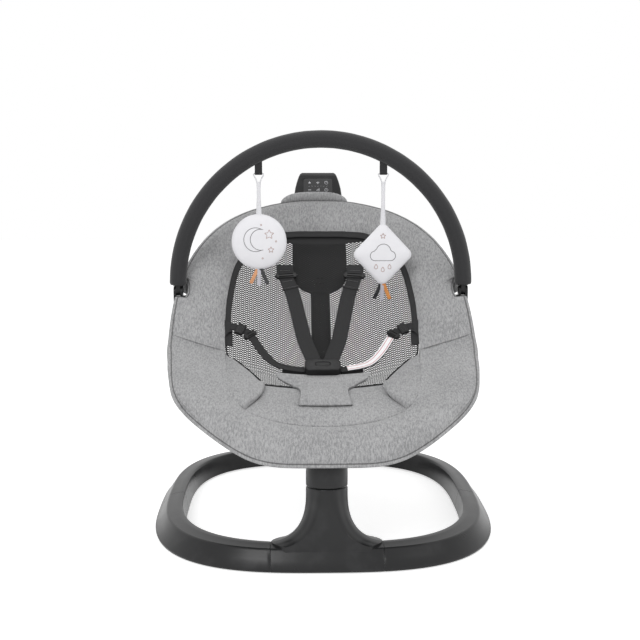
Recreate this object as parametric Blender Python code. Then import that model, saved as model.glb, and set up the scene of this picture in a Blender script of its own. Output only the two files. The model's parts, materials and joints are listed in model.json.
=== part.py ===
"""Electric baby swing: a floor ring with a post at the front, a collar that swings the padded seat from
side to side, a see-through net back with a five-point harness, and a removable toy bar with two toys.

Metres, +Z up, the front of the swing faces -Y, the origin is on the floor under the middle of the ring.
"""

from math import acos, atan2, cos, hypot, pi, radians, sin, sqrt, tan

import bmesh
import bpy
from mathutils import Matrix, Vector

# Clearances
GAP = 0.0003                    # between two pieces that touch
SEAM_GAP = 0.0006               # visible joint line between two base mouldings

# Floor ring
BASE_WIDTH = 0.580
BASE_DEPTH = 0.676
BASE_SQUARENESS = 2.89          # exponent of the ring's outline, 2 is an ellipse
RING_BAND = 0.052               # from the outer to the inner wall, at the floor
RING_HEIGHT = 0.0315            # of the outer top edge
RING_SLOPE = 0.018              # how far the outer wall leans in
RING_TOP_WIDTH = 0.029
RING_TOP_RISE = 0.005           # the top rises towards the inside
RING_WALL = 0.0026
FOOT_HEIGHT = 0.0022
FOOT_LENGTH = 0.032
FOOT_WIDTH = 0.014
FOOT_INSET = 0.026              # from the ring's outline to the middle of a foot
FOOT_ANGLES = (56.0, 124.0, 236.0, 304.0)
SIDE_SEAM_ANGLE = -4.4          # where the front arcs meet the rear arc, from +X
COVER_HALF_WIDTH = 0.0870       # of the front cover, whose end faces are square to the width
TONGUE_LENGTH_ANGLE = 3.6       # the plug that enters the next moulding
TONGUE_PLAY = 0.0010
TONGUE_WALL = 0.0024

# Post and swing axis
POST_Y = -0.285                 # of the swing axis at the seam under the collar
POST_SETBACK = 0.053            # of the swing axis, behind the ring's front
SEAM_Z = 0.1237
AXIS_LEAN = 5.0                 # degrees, the axis leans back, so the seat swings home by its weight
POST_RADIUS = 0.0322
POST_EDGE = 0.0028              # rounding of the edges at the seam
FLARE_TOP = 0.115
FLARE_REACH = 0.068             # how much wider it would be at the ring's top, were it not cut off
FLARE_REAR_REACH = 0.010
FLARE_SHAPE = 2.5
FLARE_STEPS = (0.0, 0.25, 0.45, 0.60, 0.72, 0.82, 0.90, 0.955, 0.993)
FLARE_SQUARENESS = 4.4          # of the post's front at the ring, from 2 at its round top
BORE_RADIUS = 0.0275
BORE_WALL = 0.0030
BORE_DEPTH = 0.078
SHAFT_RADIUS = 0.0122
SHAFT_LENGTH = 0.0790
BEARING_HEIGHT = 0.009
UPPER_BEARING_DROP = 0.004      # from the seam to the top of the upper bearing
LOWER_BEARING_DROP = 0.036
ROTOR_DROP = 0.050
ROTOR_HEIGHT = 0.010
COIL_DROP = 0.0665
COIL_HEIGHT = 0.010
COIL_HOLE_RADIUS = 0.010
PLATE_THICKNESS = 0.0022
SERVICE_WIDTH = 0.118
SERVICE_DEPTH = 0.026
BOARD_SIZE = (0.040, 0.020, 0.0016)
INLET_RADIUS = 0.0052
INLET_LENGTH = 0.012

# Collar and recline hinge
COLLAR_HEIGHT = 0.034
CHEEK_GAP_HALF = 0.0200         # half of the slot between the two cheeks
SLOT_FLOOR = 0.0135
RECLINE_HEIGHT = 0.0255         # of the hinge pin above the seam, along the swing axis
PIN_RADIUS = 0.0040
KNUCKLE_RADIUS = 0.0095

# Seat surface: a bowl about the line that the padding lies on
SEAT_HALF_WIDTH = 0.2655
HEAD_Y = 0.270
HEAD_Z = 0.5376
RIM_MID_Y = -0.030
LIP_Y = -0.335
REAR_ROUNDNESS = 2.2
FRONT_ROUNDNESS = 2.8
BACK_ANGLE = 42.6               # of the backrest, from the floor
CUSHION_Z = 0.240               # of the seat part, at CUSHION_Y
CUSHION_Y = -0.100
CUSHION_ANGLE = 9.6
FOLD_SOFTNESS = 0.010
LIP_START = -0.220
LIP_DROP = 0.034
BOWL_RISE = 0.05287             # of the sides at the widest place, above the middle
OPENING_HALF_WIDTH = 0.170
OPENING_REAR_Y = 0.208
OPENING_FRONT_Y = -0.115
OPENING_FRONT_HALF_WIDTH = 0.100
NET_SAG = 0.010
NET_THICKNESS = 0.0010
BINDING_WIDTH = 0.010
BINDING_THICKNESS = 0.0016

# Padding
SEAM_MARGIN = 0.0016            # between pads whose seam is curved
PAD_EDGE = 0.0010               # top of a sewn edge above the seat surface
PAD_UNDER = 0.0050              # underside below the seat surface
BACK_CROWN = 0.012
THIGH_CROWN = 0.014
CUSHION_CROWN = 0.010
LIP_CROWN = 0.011
SKIRT_DEPTH = 0.026
LIP_SKIRT_DEPTH = 0.0055
SKIRT_WIDTH = 0.0085
FLAP_THICKNESS = 0.005
FLAP_TOP_Y = -0.066
FLAP_EDGE_THICKNESS = 0.0016
FLAP_BOTTOM_Y = -0.190
FLAP_TOP_HALF_WIDTH = 0.080
FLAP_NECK_HALF_WIDTH = 0.041
PILLOW_HALF_WIDTH = 0.066
PILLOW_HEIGHT = 0.019
PILLOW_THICKNESS = 0.012

# Tubular frame
TUBE_RADIUS = 0.008
TUBE_INSET = 0.021
TUBE_DEPTH = 0.0170             # of its middle, below the seat surface
TUBE_STATION = 6.0
JOINT_ANGLE = -18.0             # of the tube's joints, from +X
JOINT_RADIUS = 0.0105

# Arm behind the net
ARM_WIDTH = 0.035
ARM_THICKNESS = 0.016
ARM_DEPTH = 0.031               # of its middle, below the seat surface
ARM_RISE = ((0.0478, 0.0069), (0.1328, 0.0299), (0.2178, 0.0619), (0.2778, 0.1009))     # from the pin
CLAMP_FRONT_WALL = 0.0015       # in front of the frame's tube
CLAMP_FLOOR = 0.0023            # under the frame's tube
CLAMP_KEEL = ((-0.0097, 0.0074), (0.0428, 0.0099), (0.0628, 0.0129), (0.0628, 0.0209))  # from the pin
BACK_PLATE_HALF_WIDTH = 0.051
BACK_PLATE_THICKNESS = 0.0042
BACK_PLATE_LOW_Y = 0.118
BACK_PLATE_FULL_Y = 0.150
BACK_PLATE_TOP_Y = 0.206

# Control pod
POD_TILT = 65.0
POD_FACE_Y = 0.2905             # of the face, at POD_FACE_Z
POD_FACE_Z = 0.543
POD_TOP_Z = 0.592
POD_TOP_HALF_WIDTH = 0.0355
POD_MID_HALF_WIDTH = 0.0435
POD_THICKNESS = 0.021
POD_TOP_THICKNESS = 0.013
PANEL_THICKNESS = 0.0014

# Toy bar
BAR_Y = 0.060
BAR_INSET = 0.0105              # of the bow's ends, inside the seat's widest place
BAR_RADIUS = SEAT_HALF_WIDTH - BAR_INSET
BAR_CENTRE_Z = 0.397
ROD_RADIUS = 0.0095
SLEEVE_RADIUS = 0.0152
BAR_PIVOT_Z = 0.3860
BAR_PLUG = 0.012                # of the end pieces, up inside the sleeve
BAR_TONGUE_HALF = 0.0038
BAR_TONGUE_RADIUS = 0.0085
MOUNT_CHEEK = 0.0040
MOUNT_BASE = 0.012

# Toys
TOY_X = 0.110
TAB_WIDTH = 0.013
TAB_DROP = 0.020
TAB_THICKNESS = 0.0012
CORD_RADIUS = 0.0010
ROUND_PAD_RADIUS = 0.048
ROUND_PAD_Z = 0.473
DIAMOND_HALF_WIDTH = 0.050
DIAMOND_HALF_HEIGHT = 0.053
DIAMOND_Z = 0.450
TOY_THICKNESS = 0.014
RIBBON_LENGTH = 0.030
RIBBON_WIDTH = 0.0065

# Harness
WEB_THICKNESS = 0.0016
SHOULDER_WEB_WIDTH = 0.025
WAIST_WEB_WIDTH = 0.015
BAND_WIDTH = 0.019
BUCKLE_Y = -0.052
BUCKLE_SIZE = (0.062, 0.034, 0.014)
BUCKLE_LIFT = 0.0049            # of its underside above the seat surface
SLOT_LIFT = -0.0015             # of the strap slots, from the buckle's middle
SLOT_DEPTH = 0.0060
SLOT_PLAY = 0.0007
SHOULDER_SLOT_X = 0.0150
RELEASE_SIZE = (0.026, 0.013, 0.0045)
RELEASE_TRAVEL = 0.0025

# Half outline of the net, as shares of its half widths and lengths, from the head to the front
OPENING_SHAPE = ((0.0, 1.0), (0.588, 0.93), (0.885, 0.705), (0.985, 0.43), (1.0, 0.14))
# Bolster edge from the widest place to the front corner: share of the way in, share of the way down
BOLSTER_SHAPE = ((0.06, 0.33), (0.34, 0.42), (0.63, 0.60), (0.84, 0.80), (1.0, 1.0))
# Seam between the thigh pads or front cushion and the front rim, from the side to the middle of the lip
RIM_SEAM = ((0.1690, -0.0300), (0.1610, -0.0750), (0.1500, -0.1380), (0.1310, -0.2130),
            (0.0860, -0.2430), (0.0390, -0.2510), (0.0, -0.2520))
# Valley between a thigh pad and the front cushion, from the net's corner to the rim seam
VALLEY = ((0.1000, -0.1150), (0.1075, -0.1700), (0.1220, -0.2180))

# Harness routes on the seat: x, y, height of the webbing's underside above the seat surface
SHOULDER_ROUTE = ((0.0655, 0.1440, -0.0040), (0.0650, 0.1300, 0.0020), (0.0610, 0.1100, 0.0050),
                  (0.0515, 0.0880, 0.0050), (0.0430, 0.0570, 0.0050), (0.0310, 0.0100, 0.0055),
                  (0.0220, -0.0130, 0.0062))
WAIST_ROUTE = ((0.1500, 0.0110, 0.0050), (0.1340, 0.0080, 0.0055), (0.1180, 0.0000, 0.0050),
               (0.1000, -0.0250, 0.0055), (0.0800, -0.0440, 0.0065), (0.0600, -0.0530, 0.0085))
BAND_ROUTE = ((-0.0700, -0.0560, 0.0016), (-0.0350, -0.0560, 0.0016), (0.0, -0.0560, 0.0016),
              (0.0350, -0.0560, 0.0016), (0.0700, -0.0560, 0.0016))


# Materials

def material(name, colour, roughness, metallic=0.0):
    made = bpy.data.materials.new(name)
    made.use_nodes = True
    shader = made.node_tree.nodes["Principled BSDF"]
    shader.inputs["Base Color"].default_value = (*colour, 1.0)
    shader.inputs["Roughness"].default_value = roughness
    shader.inputs["Metallic"].default_value = metallic
    return made


# Plain geometry

def smooth_through(points, steps):
    """Points on a smooth curve through the given ones, steps to each span."""
    vectors = [Vector(p) for p in points]
    ends = [2 * vectors[0] - vectors[1]] + vectors + [2 * vectors[-1] - vectors[-2]]
    curve = []
    for a, b, c, d in zip(ends, ends[1:], ends[2:], ends[3:]):
        for k in range(steps):
            t = k / steps
            curve.append(0.5 * (2 * b + (c - a) * t + (2 * a - 5 * b + 4 * c - d) * t ** 2
                                + (3 * b - a - 3 * c + d) * t ** 3))
    return curve + [vectors[-1]]


def spaced(points, count):
    """The same line with count points at equal distances."""
    lengths = [0.0]
    for a, b in zip(points, points[1:]):
        lengths.append(lengths[-1] + (b - a).length)
    result = []
    index = 0
    for k in range(count):
        target = lengths[-1] * k / (count - 1)
        while index < len(points) - 2 and lengths[index + 1] < target:
            index += 1
        span = lengths[index + 1] - lengths[index]
        result.append(points[index].lerp(points[index + 1], (target - lengths[index]) / span))
    return result


def offset_polygon(points, distance):
    """A counter-clockwise polygon of (a, b) pairs, moved inwards by distance."""
    count = len(points)
    moved = []
    for k in range(count):
        before = Vector(points[k]) - Vector(points[k - 1])
        after = Vector(points[(k + 1) % count]) - Vector(points[k])
        n1 = Vector((-before.y, before.x)).normalized()
        n2 = Vector((-after.y, after.x)).normalized()
        middle = (n1 + n2).normalized()
        moved.append(tuple(Vector(points[k]) + middle * (distance / middle.dot(n1))))
    return moved


def rounded_rectangle(width, height, radius, steps=2):
    """Counter-clockwise corner-rounded rectangle about the middle."""
    points = []
    for quarter in range(4):
        sign_a = (1, -1, -1, 1)[quarter]
        sign_b = (1, 1, -1, -1)[quarter]
        for k in range(steps + 1):
            angle = pi / 2 * (quarter + k / steps)
            points.append((sign_a * (width / 2 - radius) + radius * cos(angle),
                           sign_b * (height / 2 - radius) + radius * sin(angle)))
    return points


def circle(radius, sides):
    return [(radius * cos(2 * pi * k / sides), radius * sin(2 * pi * k / sides)) for k in range(sides)]


# Objects

def add_object(name, bm, finish, smooth_angle=35.0):
    bmesh.ops.recalc_face_normals(bm, faces=bm.faces)
    mesh = bpy.data.meshes.new(name)
    bm.to_mesh(mesh)
    bm.free()
    mesh.shade_smooth()
    mesh.set_sharp_from_angle(angle=radians(smooth_angle))
    mesh.materials.append(finish)
    made = bpy.data.objects.new(name, mesh)
    bpy.context.scene.collection.objects.link(made)
    return made


def loft(name, sections, finish, closed=False):
    """A skin over matching closed sections, capped at both ends or run round to the first."""
    bm = bmesh.new()
    rings = [[bm.verts.new(point) for point in section] for section in sections]
    pairs = list(zip(rings, rings[1:]))
    if closed:
        pairs.append((rings[-1], rings[0]))
    for first, second in pairs:
        for k in range(len(first)):
            j = (k + 1) % len(first)
            bm.faces.new((first[k], first[j], second[j], second[k]))
    if not closed:
        bm.faces.new(reversed(rings[0]))
        bm.faces.new(rings[-1])
    return add_object(name, bm, finish)


def channel(name, outer_sections, inner_sections, finish):
    """A hollow run, open at both ends, between matching outer and inner sections."""
    bm = bmesh.new()
    outer = [[bm.verts.new(point) for point in section] for section in outer_sections]
    inner = [[bm.verts.new(point) for point in section] for section in inner_sections]
    count = len(outer[0])
    for skin in (outer, inner):
        for first, second in zip(skin, skin[1:]):
            for k in range(count):
                j = (k + 1) % count
                bm.faces.new((first[k], first[j], second[j], second[k]))
    for end in (0, -1):
        for k in range(count):
            j = (k + 1) % count
            bm.faces.new((outer[end][k], outer[end][j], inner[end][j], inner[end][k]))
    return add_object(name, bm, finish)


def path_frames(path, across):
    """At each point of a path a matrix whose Z runs along it and whose X stays close to across."""
    frames = []
    for k, point in enumerate(path):
        along = (path[min(k + 1, len(path) - 1)] - path[max(k - 1, 0)]).normalized()
        side = (across - across.dot(along) * along).normalized()
        third = along.cross(side)
        frames.append(Matrix(((side.x, third.x, along.x, point.x), (side.y, third.y, along.y, point.y),
                              (side.z, third.z, along.z, point.z), (0, 0, 0, 1))))
    return frames


def swept(name, path, across, outline, finish):
    """An outline of (a, b) pairs carried along a path; a lies along across."""
    sections = [[frame @ Vector((a, b, 0)) for a, b in outline] for frame in path_frames(path, across)]
    return loft(name, sections, finish)


def ring_tube(name, path, radius, sides, finish):
    """A round tube along a path; its section turns with the path and never twists."""
    sections = []
    side = (path[1] - path[0]).orthogonal().normalized()
    for k, point in enumerate(path):
        along = (path[min(k + 1, len(path) - 1)] - path[max(k - 1, 0)]).normalized()
        side = (side - side.dot(along) * along).normalized()
        third = along.cross(side)
        sections.append([point + side * a + third * b for a, b in circle(radius, sides)])
    return loft(name, sections, finish)


def turned(name, profile, sides, placement, finish):
    """A solid of revolution: profile of (radius, height) from the bottom to the top."""
    sections = [[placement @ Vector((a, b, height)) for a, b in circle(radius, sides)]
                for radius, height in profile]
    return loft(name, sections, finish)


def turned_ring(name, profile, sides, placement, finish):
    """A ring of revolution from a closed profile of (radius, height)."""
    sections = []
    for k in range(sides):
        angle = 2 * pi * k / sides
        sections.append([placement @ Vector((r * cos(angle), r * sin(angle), h)) for r, h in profile])
    return loft(name, sections, finish, closed=True)


def block(name, size, placement, finish, rounding=0.0, steps=1):
    """A box about the placement's origin, its edges rounded."""
    bm = bmesh.new()
    bmesh.ops.create_cube(bm, size=1.0)
    bmesh.ops.scale(bm, vec=size, verts=bm.verts)
    if rounding > 0:
        bmesh.ops.bevel(bm, geom=list(bm.edges), offset=rounding, segments=steps, profile=0.5,
                        affect="EDGES", clamp_overlap=True)
    bmesh.ops.transform(bm, matrix=placement, verts=bm.verts)
    return add_object(name, bm, finish)


def combine(target, tool, operation):
    """Cut, join or intersect the target with a tool, which is used up."""
    modifier = target.modifiers.new(operation, "BOOLEAN")
    modifier.operation = operation
    modifier.solver = "EXACT"
    modifier.object = tool
    bpy.context.view_layer.update()
    evaluated = target.evaluated_get(bpy.context.evaluated_depsgraph_get())
    mesh = bpy.data.meshes.new_from_object(evaluated)
    target.modifiers.clear()
    target.data = mesh
    bpy.data.objects.remove(tool)
    return target


def empty(name, placement):
    made = bpy.data.objects.new(name, None)
    made.matrix_world = placement
    bpy.context.scene.collection.objects.link(made)
    return made


def hang_on(carrier, pieces):
    """Parent the pieces to an empty that stands on their joint's axis; nothing moves."""
    bpy.context.view_layer.update()
    for piece in pieces:
        piece.parent = carrier
        piece.matrix_parent_inverse = carrier.matrix_world.inverted()


# Seat surface

def seat_height(x, y):
    back = HEAD_Z - tan(radians(BACK_ANGLE)) * (HEAD_Y - y)
    cushion = CUSHION_Z + tan(radians(CUSHION_ANGLE)) * (y - CUSHION_Y)
    height = (back + cushion) / 2 + hypot((back - cushion) / 2, FOLD_SOFTNESS)
    if y < LIP_START:
        height -= LIP_DROP * ((LIP_START - y) / (LIP_START - LIP_Y)) ** 3
    return height + BOWL_RISE * (x / SEAT_HALF_WIDTH) ** 2


def seat_normal(x, y):
    step = 0.001
    slope_x = (seat_height(x + step, y) - seat_height(x - step, y)) / (2 * step)
    slope_y = (seat_height(x, y + step) - seat_height(x, y - step)) / (2 * step)
    return Vector((-slope_x, -slope_y, 1.0)).normalized()


def seat_point(x, y, lift=0.0):
    return Vector((x, y, seat_height(x, y))) + seat_normal(x, y) * lift


def hung_point(x, y, depth):
    """A point below the seat surface, square to its slope along the seat but not moved sideways."""
    normal = seat_normal(x, y)
    down = Vector((0, -normal.y, -normal.z)).normalized()
    return Vector((x, y, seat_height(x, y))) + down * depth


def seat_frame(x, y, lift, heading=0.0):
    """A frame on the seat: X to the right, Y up the slope, Z out of the padding, turned by heading."""
    normal = seat_normal(x, y)
    right = (Vector((1, 0, 0)) - normal.x * normal).normalized()
    up = normal.cross(right)
    at = seat_point(x, y, lift)
    made = Matrix(((right.x, up.x, normal.x, at.x), (right.y, up.y, normal.y, at.y),
                   (right.z, up.z, normal.z, at.z), (0, 0, 0, 1)))
    return made @ Matrix.Rotation(heading, 4, "Z")


def rim_point(angle, inset=0.0):
    """The seat's outline in plan; angle in degrees from +X, seen from the middle of the rim."""
    a = cos(radians(angle))
    b = sin(radians(angle))
    half_width = SEAT_HALF_WIDTH - inset
    if b >= 0:
        length, roundness = HEAD_Y - RIM_MID_Y - inset, REAR_ROUNDNESS
    else:
        length, roundness = RIM_MID_Y - LIP_Y - inset, FRONT_ROUNDNESS
    radius = ((abs(a) / half_width) ** roundness + (abs(b) / length) ** roundness) ** (-1 / roundness)
    return Vector((radius * a, RIM_MID_Y + radius * b))


def opening_half():
    """Right half of the net's outline in plan, from the head round the side to the front middle."""
    reach = OPENING_REAR_Y - RIM_MID_Y
    points = [(sx * OPENING_HALF_WIDTH, RIM_MID_Y + sy * reach) for sx, sy in OPENING_SHAPE]
    side_y = points[-1][1]
    for inward, down in BOLSTER_SHAPE:
        points.append((OPENING_HALF_WIDTH + (OPENING_FRONT_HALF_WIDTH - OPENING_HALF_WIDTH) * inward,
                       side_y + (OPENING_FRONT_Y - side_y) * down))
    return points


def polar_radius(points, angle):
    """Distance from the middle of the rim to a line of points, along an angle from -90 to 90."""
    polar = [(atan2(y - RIM_MID_Y, x), hypot(x, y - RIM_MID_Y)) for x, y in points]
    polar.sort()
    target = radians(angle)
    if target <= polar[0][0]:
        return polar[0][1]
    for (a0, r0), (a1, r1) in zip(polar, polar[1:]):
        if target <= a1:
            return r0 + (r1 - r0) * (target - a0) / (a1 - a0)
    return polar[-1][1]


OPENING_LINE = [(p.x, p.y) for p in smooth_through([Vector(p) for p in opening_half()], 6)]
RIM_SEAM_LINE = [(p.x, p.y) for p in smooth_through([Vector(p) for p in RIM_SEAM], 6)]


def folded(angle):
    """An angle about the middle of the rim, brought to the right half, and the side it lies on."""
    angle = (angle + 180.0) % 360.0 - 180.0
    if abs(angle) > 90.0:
        return (180.0 - angle if angle > 0 else -180.0 - angle), -1
    return angle, 1


def plan_point(angle, radius_of, inset=0.0):
    """A point of a mirrored plan line at an angle about the middle of the rim."""
    half_angle, side = folded(angle)
    radius = radius_of(half_angle) - inset
    return Vector((side * radius * cos(radians(half_angle)),
                   RIM_MID_Y + radius * sin(radians(half_angle))))


def opening_radius(angle):
    """Of the net; in front of its corners the edge runs straight across."""
    corner = atan2(OPENING_FRONT_Y - RIM_MID_Y, OPENING_FRONT_HALF_WIDTH)
    if radians(angle) < corner:
        return (OPENING_FRONT_Y - RIM_MID_Y) / sin(radians(angle))
    return polar_radius(OPENING_LINE, angle)


def rim_seam_radius(angle):
    return polar_radius(RIM_SEAM_LINE, angle)


def crown(share):
    """Height of a stuffed pad across its width: drawn in at both sewn edges."""
    return 1.0 - abs(2.0 * share - 1.0) ** 2.6


# Floor ring pieces

def ring_front_y():
    return POST_Y - POST_SETBACK


def ring_middle_y():
    return ring_front_y() + BASE_DEPTH / 2


def ring_profile():
    """Outline of the ring's section: distance from the outer edge inwards, height."""
    return [(0.0, FOOT_HEIGHT), (RING_BAND, FOOT_HEIGHT),
            (RING_SLOPE + RING_TOP_WIDTH + 0.003, RING_HEIGHT + RING_TOP_RISE - 0.004),
            (RING_SLOPE + RING_TOP_WIDTH, RING_HEIGHT + RING_TOP_RISE - 0.001),
            (RING_SLOPE + RING_TOP_WIDTH - 0.004, RING_HEIGHT + RING_TOP_RISE),
            (RING_SLOPE + 0.005, RING_HEIGHT + 0.0010), (RING_SLOPE + 0.001, RING_HEIGHT - 0.0005),
            (RING_SLOPE - 0.003, RING_HEIGHT - 0.0042), (0.0015, FOOT_HEIGHT + 0.0035)]


def ring_point(angle, inset, height):
    a = cos(radians(angle))
    b = sin(radians(angle))
    half_width = BASE_WIDTH / 2 - inset
    half_depth = BASE_DEPTH / 2 - inset
    radius = ((abs(a) / half_width) ** BASE_SQUARENESS
              + (abs(b) / half_depth) ** BASE_SQUARENESS) ** (-1 / BASE_SQUARENESS)
    return Vector((radius * a, ring_middle_y() + radius * b, height))


def cover_edge(side, inset, shift=0.0):
    """Angle of the cover's end on the line that lies inset inside the ring's outline."""
    x = COVER_HALF_WIDTH + shift
    half_width = BASE_WIDTH / 2 - inset
    half_depth = BASE_DEPTH / 2 - inset
    y = half_depth * (1 - (x / half_width) ** BASE_SQUARENESS) ** (1 / BASE_SQUARENESS)
    return 270.0 + side * atan2(x, y) * 180 / pi


def ring_sections(profile, start, end, steps):
    """Sections between two angles, each of them a number or a function of the inset."""
    sections = []
    for k in range(steps + 1):
        section = []
        for inset, height in profile:
            first = start(inset) if callable(start) else start
            last = end(inset) if callable(end) else end
            section.append(ring_point(first + (last - first) * k / steps, inset, height))
        sections.append(section)
    return sections


def hollow_profile(inset):
    """Inside of the ring's section, walls as thick as inset."""
    corners = [(0.0, FOOT_HEIGHT), (RING_BAND, FOOT_HEIGHT),
               (RING_SLOPE + RING_TOP_WIDTH, RING_HEIGHT + RING_TOP_RISE), (RING_SLOPE, RING_HEIGHT)]
    return offset_polygon(corners, inset)


def seam_angle():
    """The angle that half of the joint line takes up on the ring."""
    return atan2(SEAM_GAP / 2, BASE_WIDTH / 2) * 180 / pi


def base_arc(name, start, end, steps, finish):
    arc = loft(name, ring_sections(ring_profile(), start, end, steps), finish)
    hollow = ring_sections(hollow_profile(RING_WALL), start, end, steps)
    for at, other in ((0, 1), (-1, -2)):
        hollow[at] = [p + (p - q).normalized() * 0.004 for p, q in zip(hollow[at], hollow[other])]
    return combine(arc, loft("hollow", hollow, finish), "DIFFERENCE")


def tongue(seam, towards, finish):
    """The plug that leaves one moulding at a seam and enters the next one."""
    outer = []
    inner = []
    fused = RING_WALL - 0.0006
    loose = RING_WALL + TONGUE_PLAY
    for turn, inset in ((-1.0, fused), (-0.12, fused), (-0.06, loose), (0.5, loose), (1.0, loose)):
        for rows, profile in ((outer, hollow_profile(inset)), (inner, hollow_profile(loose + TONGUE_WALL))):
            row = []
            for a, b in profile:
                angle = seam(a) if callable(seam) else seam
                row.append(ring_point(angle + towards * turn * TONGUE_LENGTH_ANGLE, a, b))
            rows.append(row)
    return channel("tongue", outer, inner, finish)


def axis_frame(height=0.0):
    """A frame on the swing axis, height above the seam, its Z along the axis."""
    return (Matrix.Translation((0, POST_Y, SEAM_Z)) @ Matrix.Rotation(-radians(AXIS_LEAN), 4, "X")
            @ Matrix.Translation((0, 0, height)))


def flare_width(t):
    """Half width of the post, t from 0 where it starts to widen to 1 at the ring's top."""
    widening = FLARE_REACH * (1.0 - max(0.0, 1.0 - t ** FLARE_SHAPE) ** (1 / FLARE_SHAPE))
    return min(POST_RADIUS + widening, COVER_HALF_WIDTH - SEAM_GAP / 2)


def post_section(height, t, shrink, sides=40):
    """The post's outline at a height, square to the swing axis on top and level at the ring."""
    lean = tan(radians(AXIS_LEAN))
    centre_y = POST_Y + (height - SEAM_Z) * lean
    half_width = flare_width(t) - shrink
    foot_front = centre_y - ring_front_y() - RING_SLOPE
    front = POST_RADIUS + (foot_front - POST_RADIUS) * t - shrink
    rear = POST_RADIUS + FLARE_REAR_REACH * t ** 3 - shrink
    front_power = 2 / (2 + (FLARE_SQUARENESS - 2) * t ** 2)
    points = []
    for k in range(sides):
        a = cos(2 * pi * k / sides)
        b = sin(2 * pi * k / sides)
        power = 1.0 if b > 0 else front_power
        x = half_width * (abs(a) ** power) * (1 if a > 0 else -1)
        y = b * rear if b > 0 else -front * abs(b) ** power
        points.append(Vector((x, centre_y + y, height - y * lean * (1 - t) ** 0.5)))
    return points


def post_sections(shrink, bottom, top):
    """Sections from inside the ring up to a height under the seam."""
    ring_top = RING_HEIGHT + RING_TOP_RISE
    sections = [post_section(bottom, 1.0, shrink), post_section(ring_top - 0.002, 1.0, shrink)]
    for t in reversed(FLARE_STEPS):
        height = FLARE_TOP - t * (FLARE_TOP - ring_top)
        if height < top:
            sections.append(post_section(height, t, shrink))
    if top > FLARE_TOP + 0.001:
        sections.append(post_section(top, 0.0, shrink))
    return sections


def cover_end(side, shift=0.0):
    return lambda inset: cover_edge(side, inset, shift)


def front_cover(finish):
    """Front moulding of the ring with the post: a shell with a bored tube for the swing shaft."""
    start = cover_end(-1, -SEAM_GAP / 2)
    end = cover_end(1, -SEAM_GAP / 2)
    cover = loft("base_front_cover", ring_sections(ring_profile(), start, end, 8), finish)
    floor = FOOT_HEIGHT + RING_WALL
    skin = post_sections(0.0, FOOT_HEIGHT + 0.0008, SEAM_Z - SEAM_GAP - POST_EDGE)
    skin.append(post_section(SEAM_Z - SEAM_GAP - POST_EDGE * 0.3, 0.0, POST_EDGE * 0.3))
    skin.append(post_section(SEAM_Z - SEAM_GAP, 0.0, POST_EDGE))
    combine(cover, loft("post", skin, finish), "UNION")
    hollow = ring_sections(hollow_profile(RING_WALL), cover_end(-1, 0.004), cover_end(1, 0.004), 8)
    combine(cover, loft("hollow", hollow, finish), "DIFFERENCE")
    combine(cover, loft("post_hollow", post_sections(RING_WALL, floor, SEAM_Z - 0.012), finish),
            "DIFFERENCE")
    tube_outline = [(BORE_RADIUS + BORE_WALL, -BORE_DEPTH), (BORE_RADIUS + BORE_WALL, -POST_EDGE - SEAM_GAP)]
    combine(cover, turned("tube", tube_outline, 40, axis_frame(), finish), "UNION")
    bore_outline = [(BORE_RADIUS, -BORE_DEPTH - 0.01), (BORE_RADIUS, 0.01)]
    combine(cover, turned("bore", bore_outline, 40, axis_frame(), finish), "DIFFERENCE")
    opening = block("service", (SERVICE_WIDTH, SERVICE_DEPTH, 0.02),
                    Matrix.Translation((0, service_y(), FOOT_HEIGHT)), finish)
    combine(cover, opening, "DIFFERENCE")
    combine(cover, turned("inlet_hole", [(INLET_RADIUS + GAP, -0.005), (INLET_RADIUS + GAP, 0.010)], 16,
                          inlet_frame(), finish), "DIFFERENCE")
    for side in (-1, 1):
        combine(cover, tongue(cover_end(side), side, finish), "UNION")
    return cover


def inlet_frame():
    """On the rear of the post's foot, Z pointing into it."""
    height = FOOT_HEIGHT + RING_WALL + 0.010
    rear = max(p.y for p in post_section(height, 1.0, 0.0))
    return Matrix.Translation((0, rear, height)) @ Matrix.Rotation(pi / 2, 4, "X")


def service_y():
    """Middle of the opening in the cover's floor."""
    return ring_front_y() + RING_BAND / 2


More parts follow.
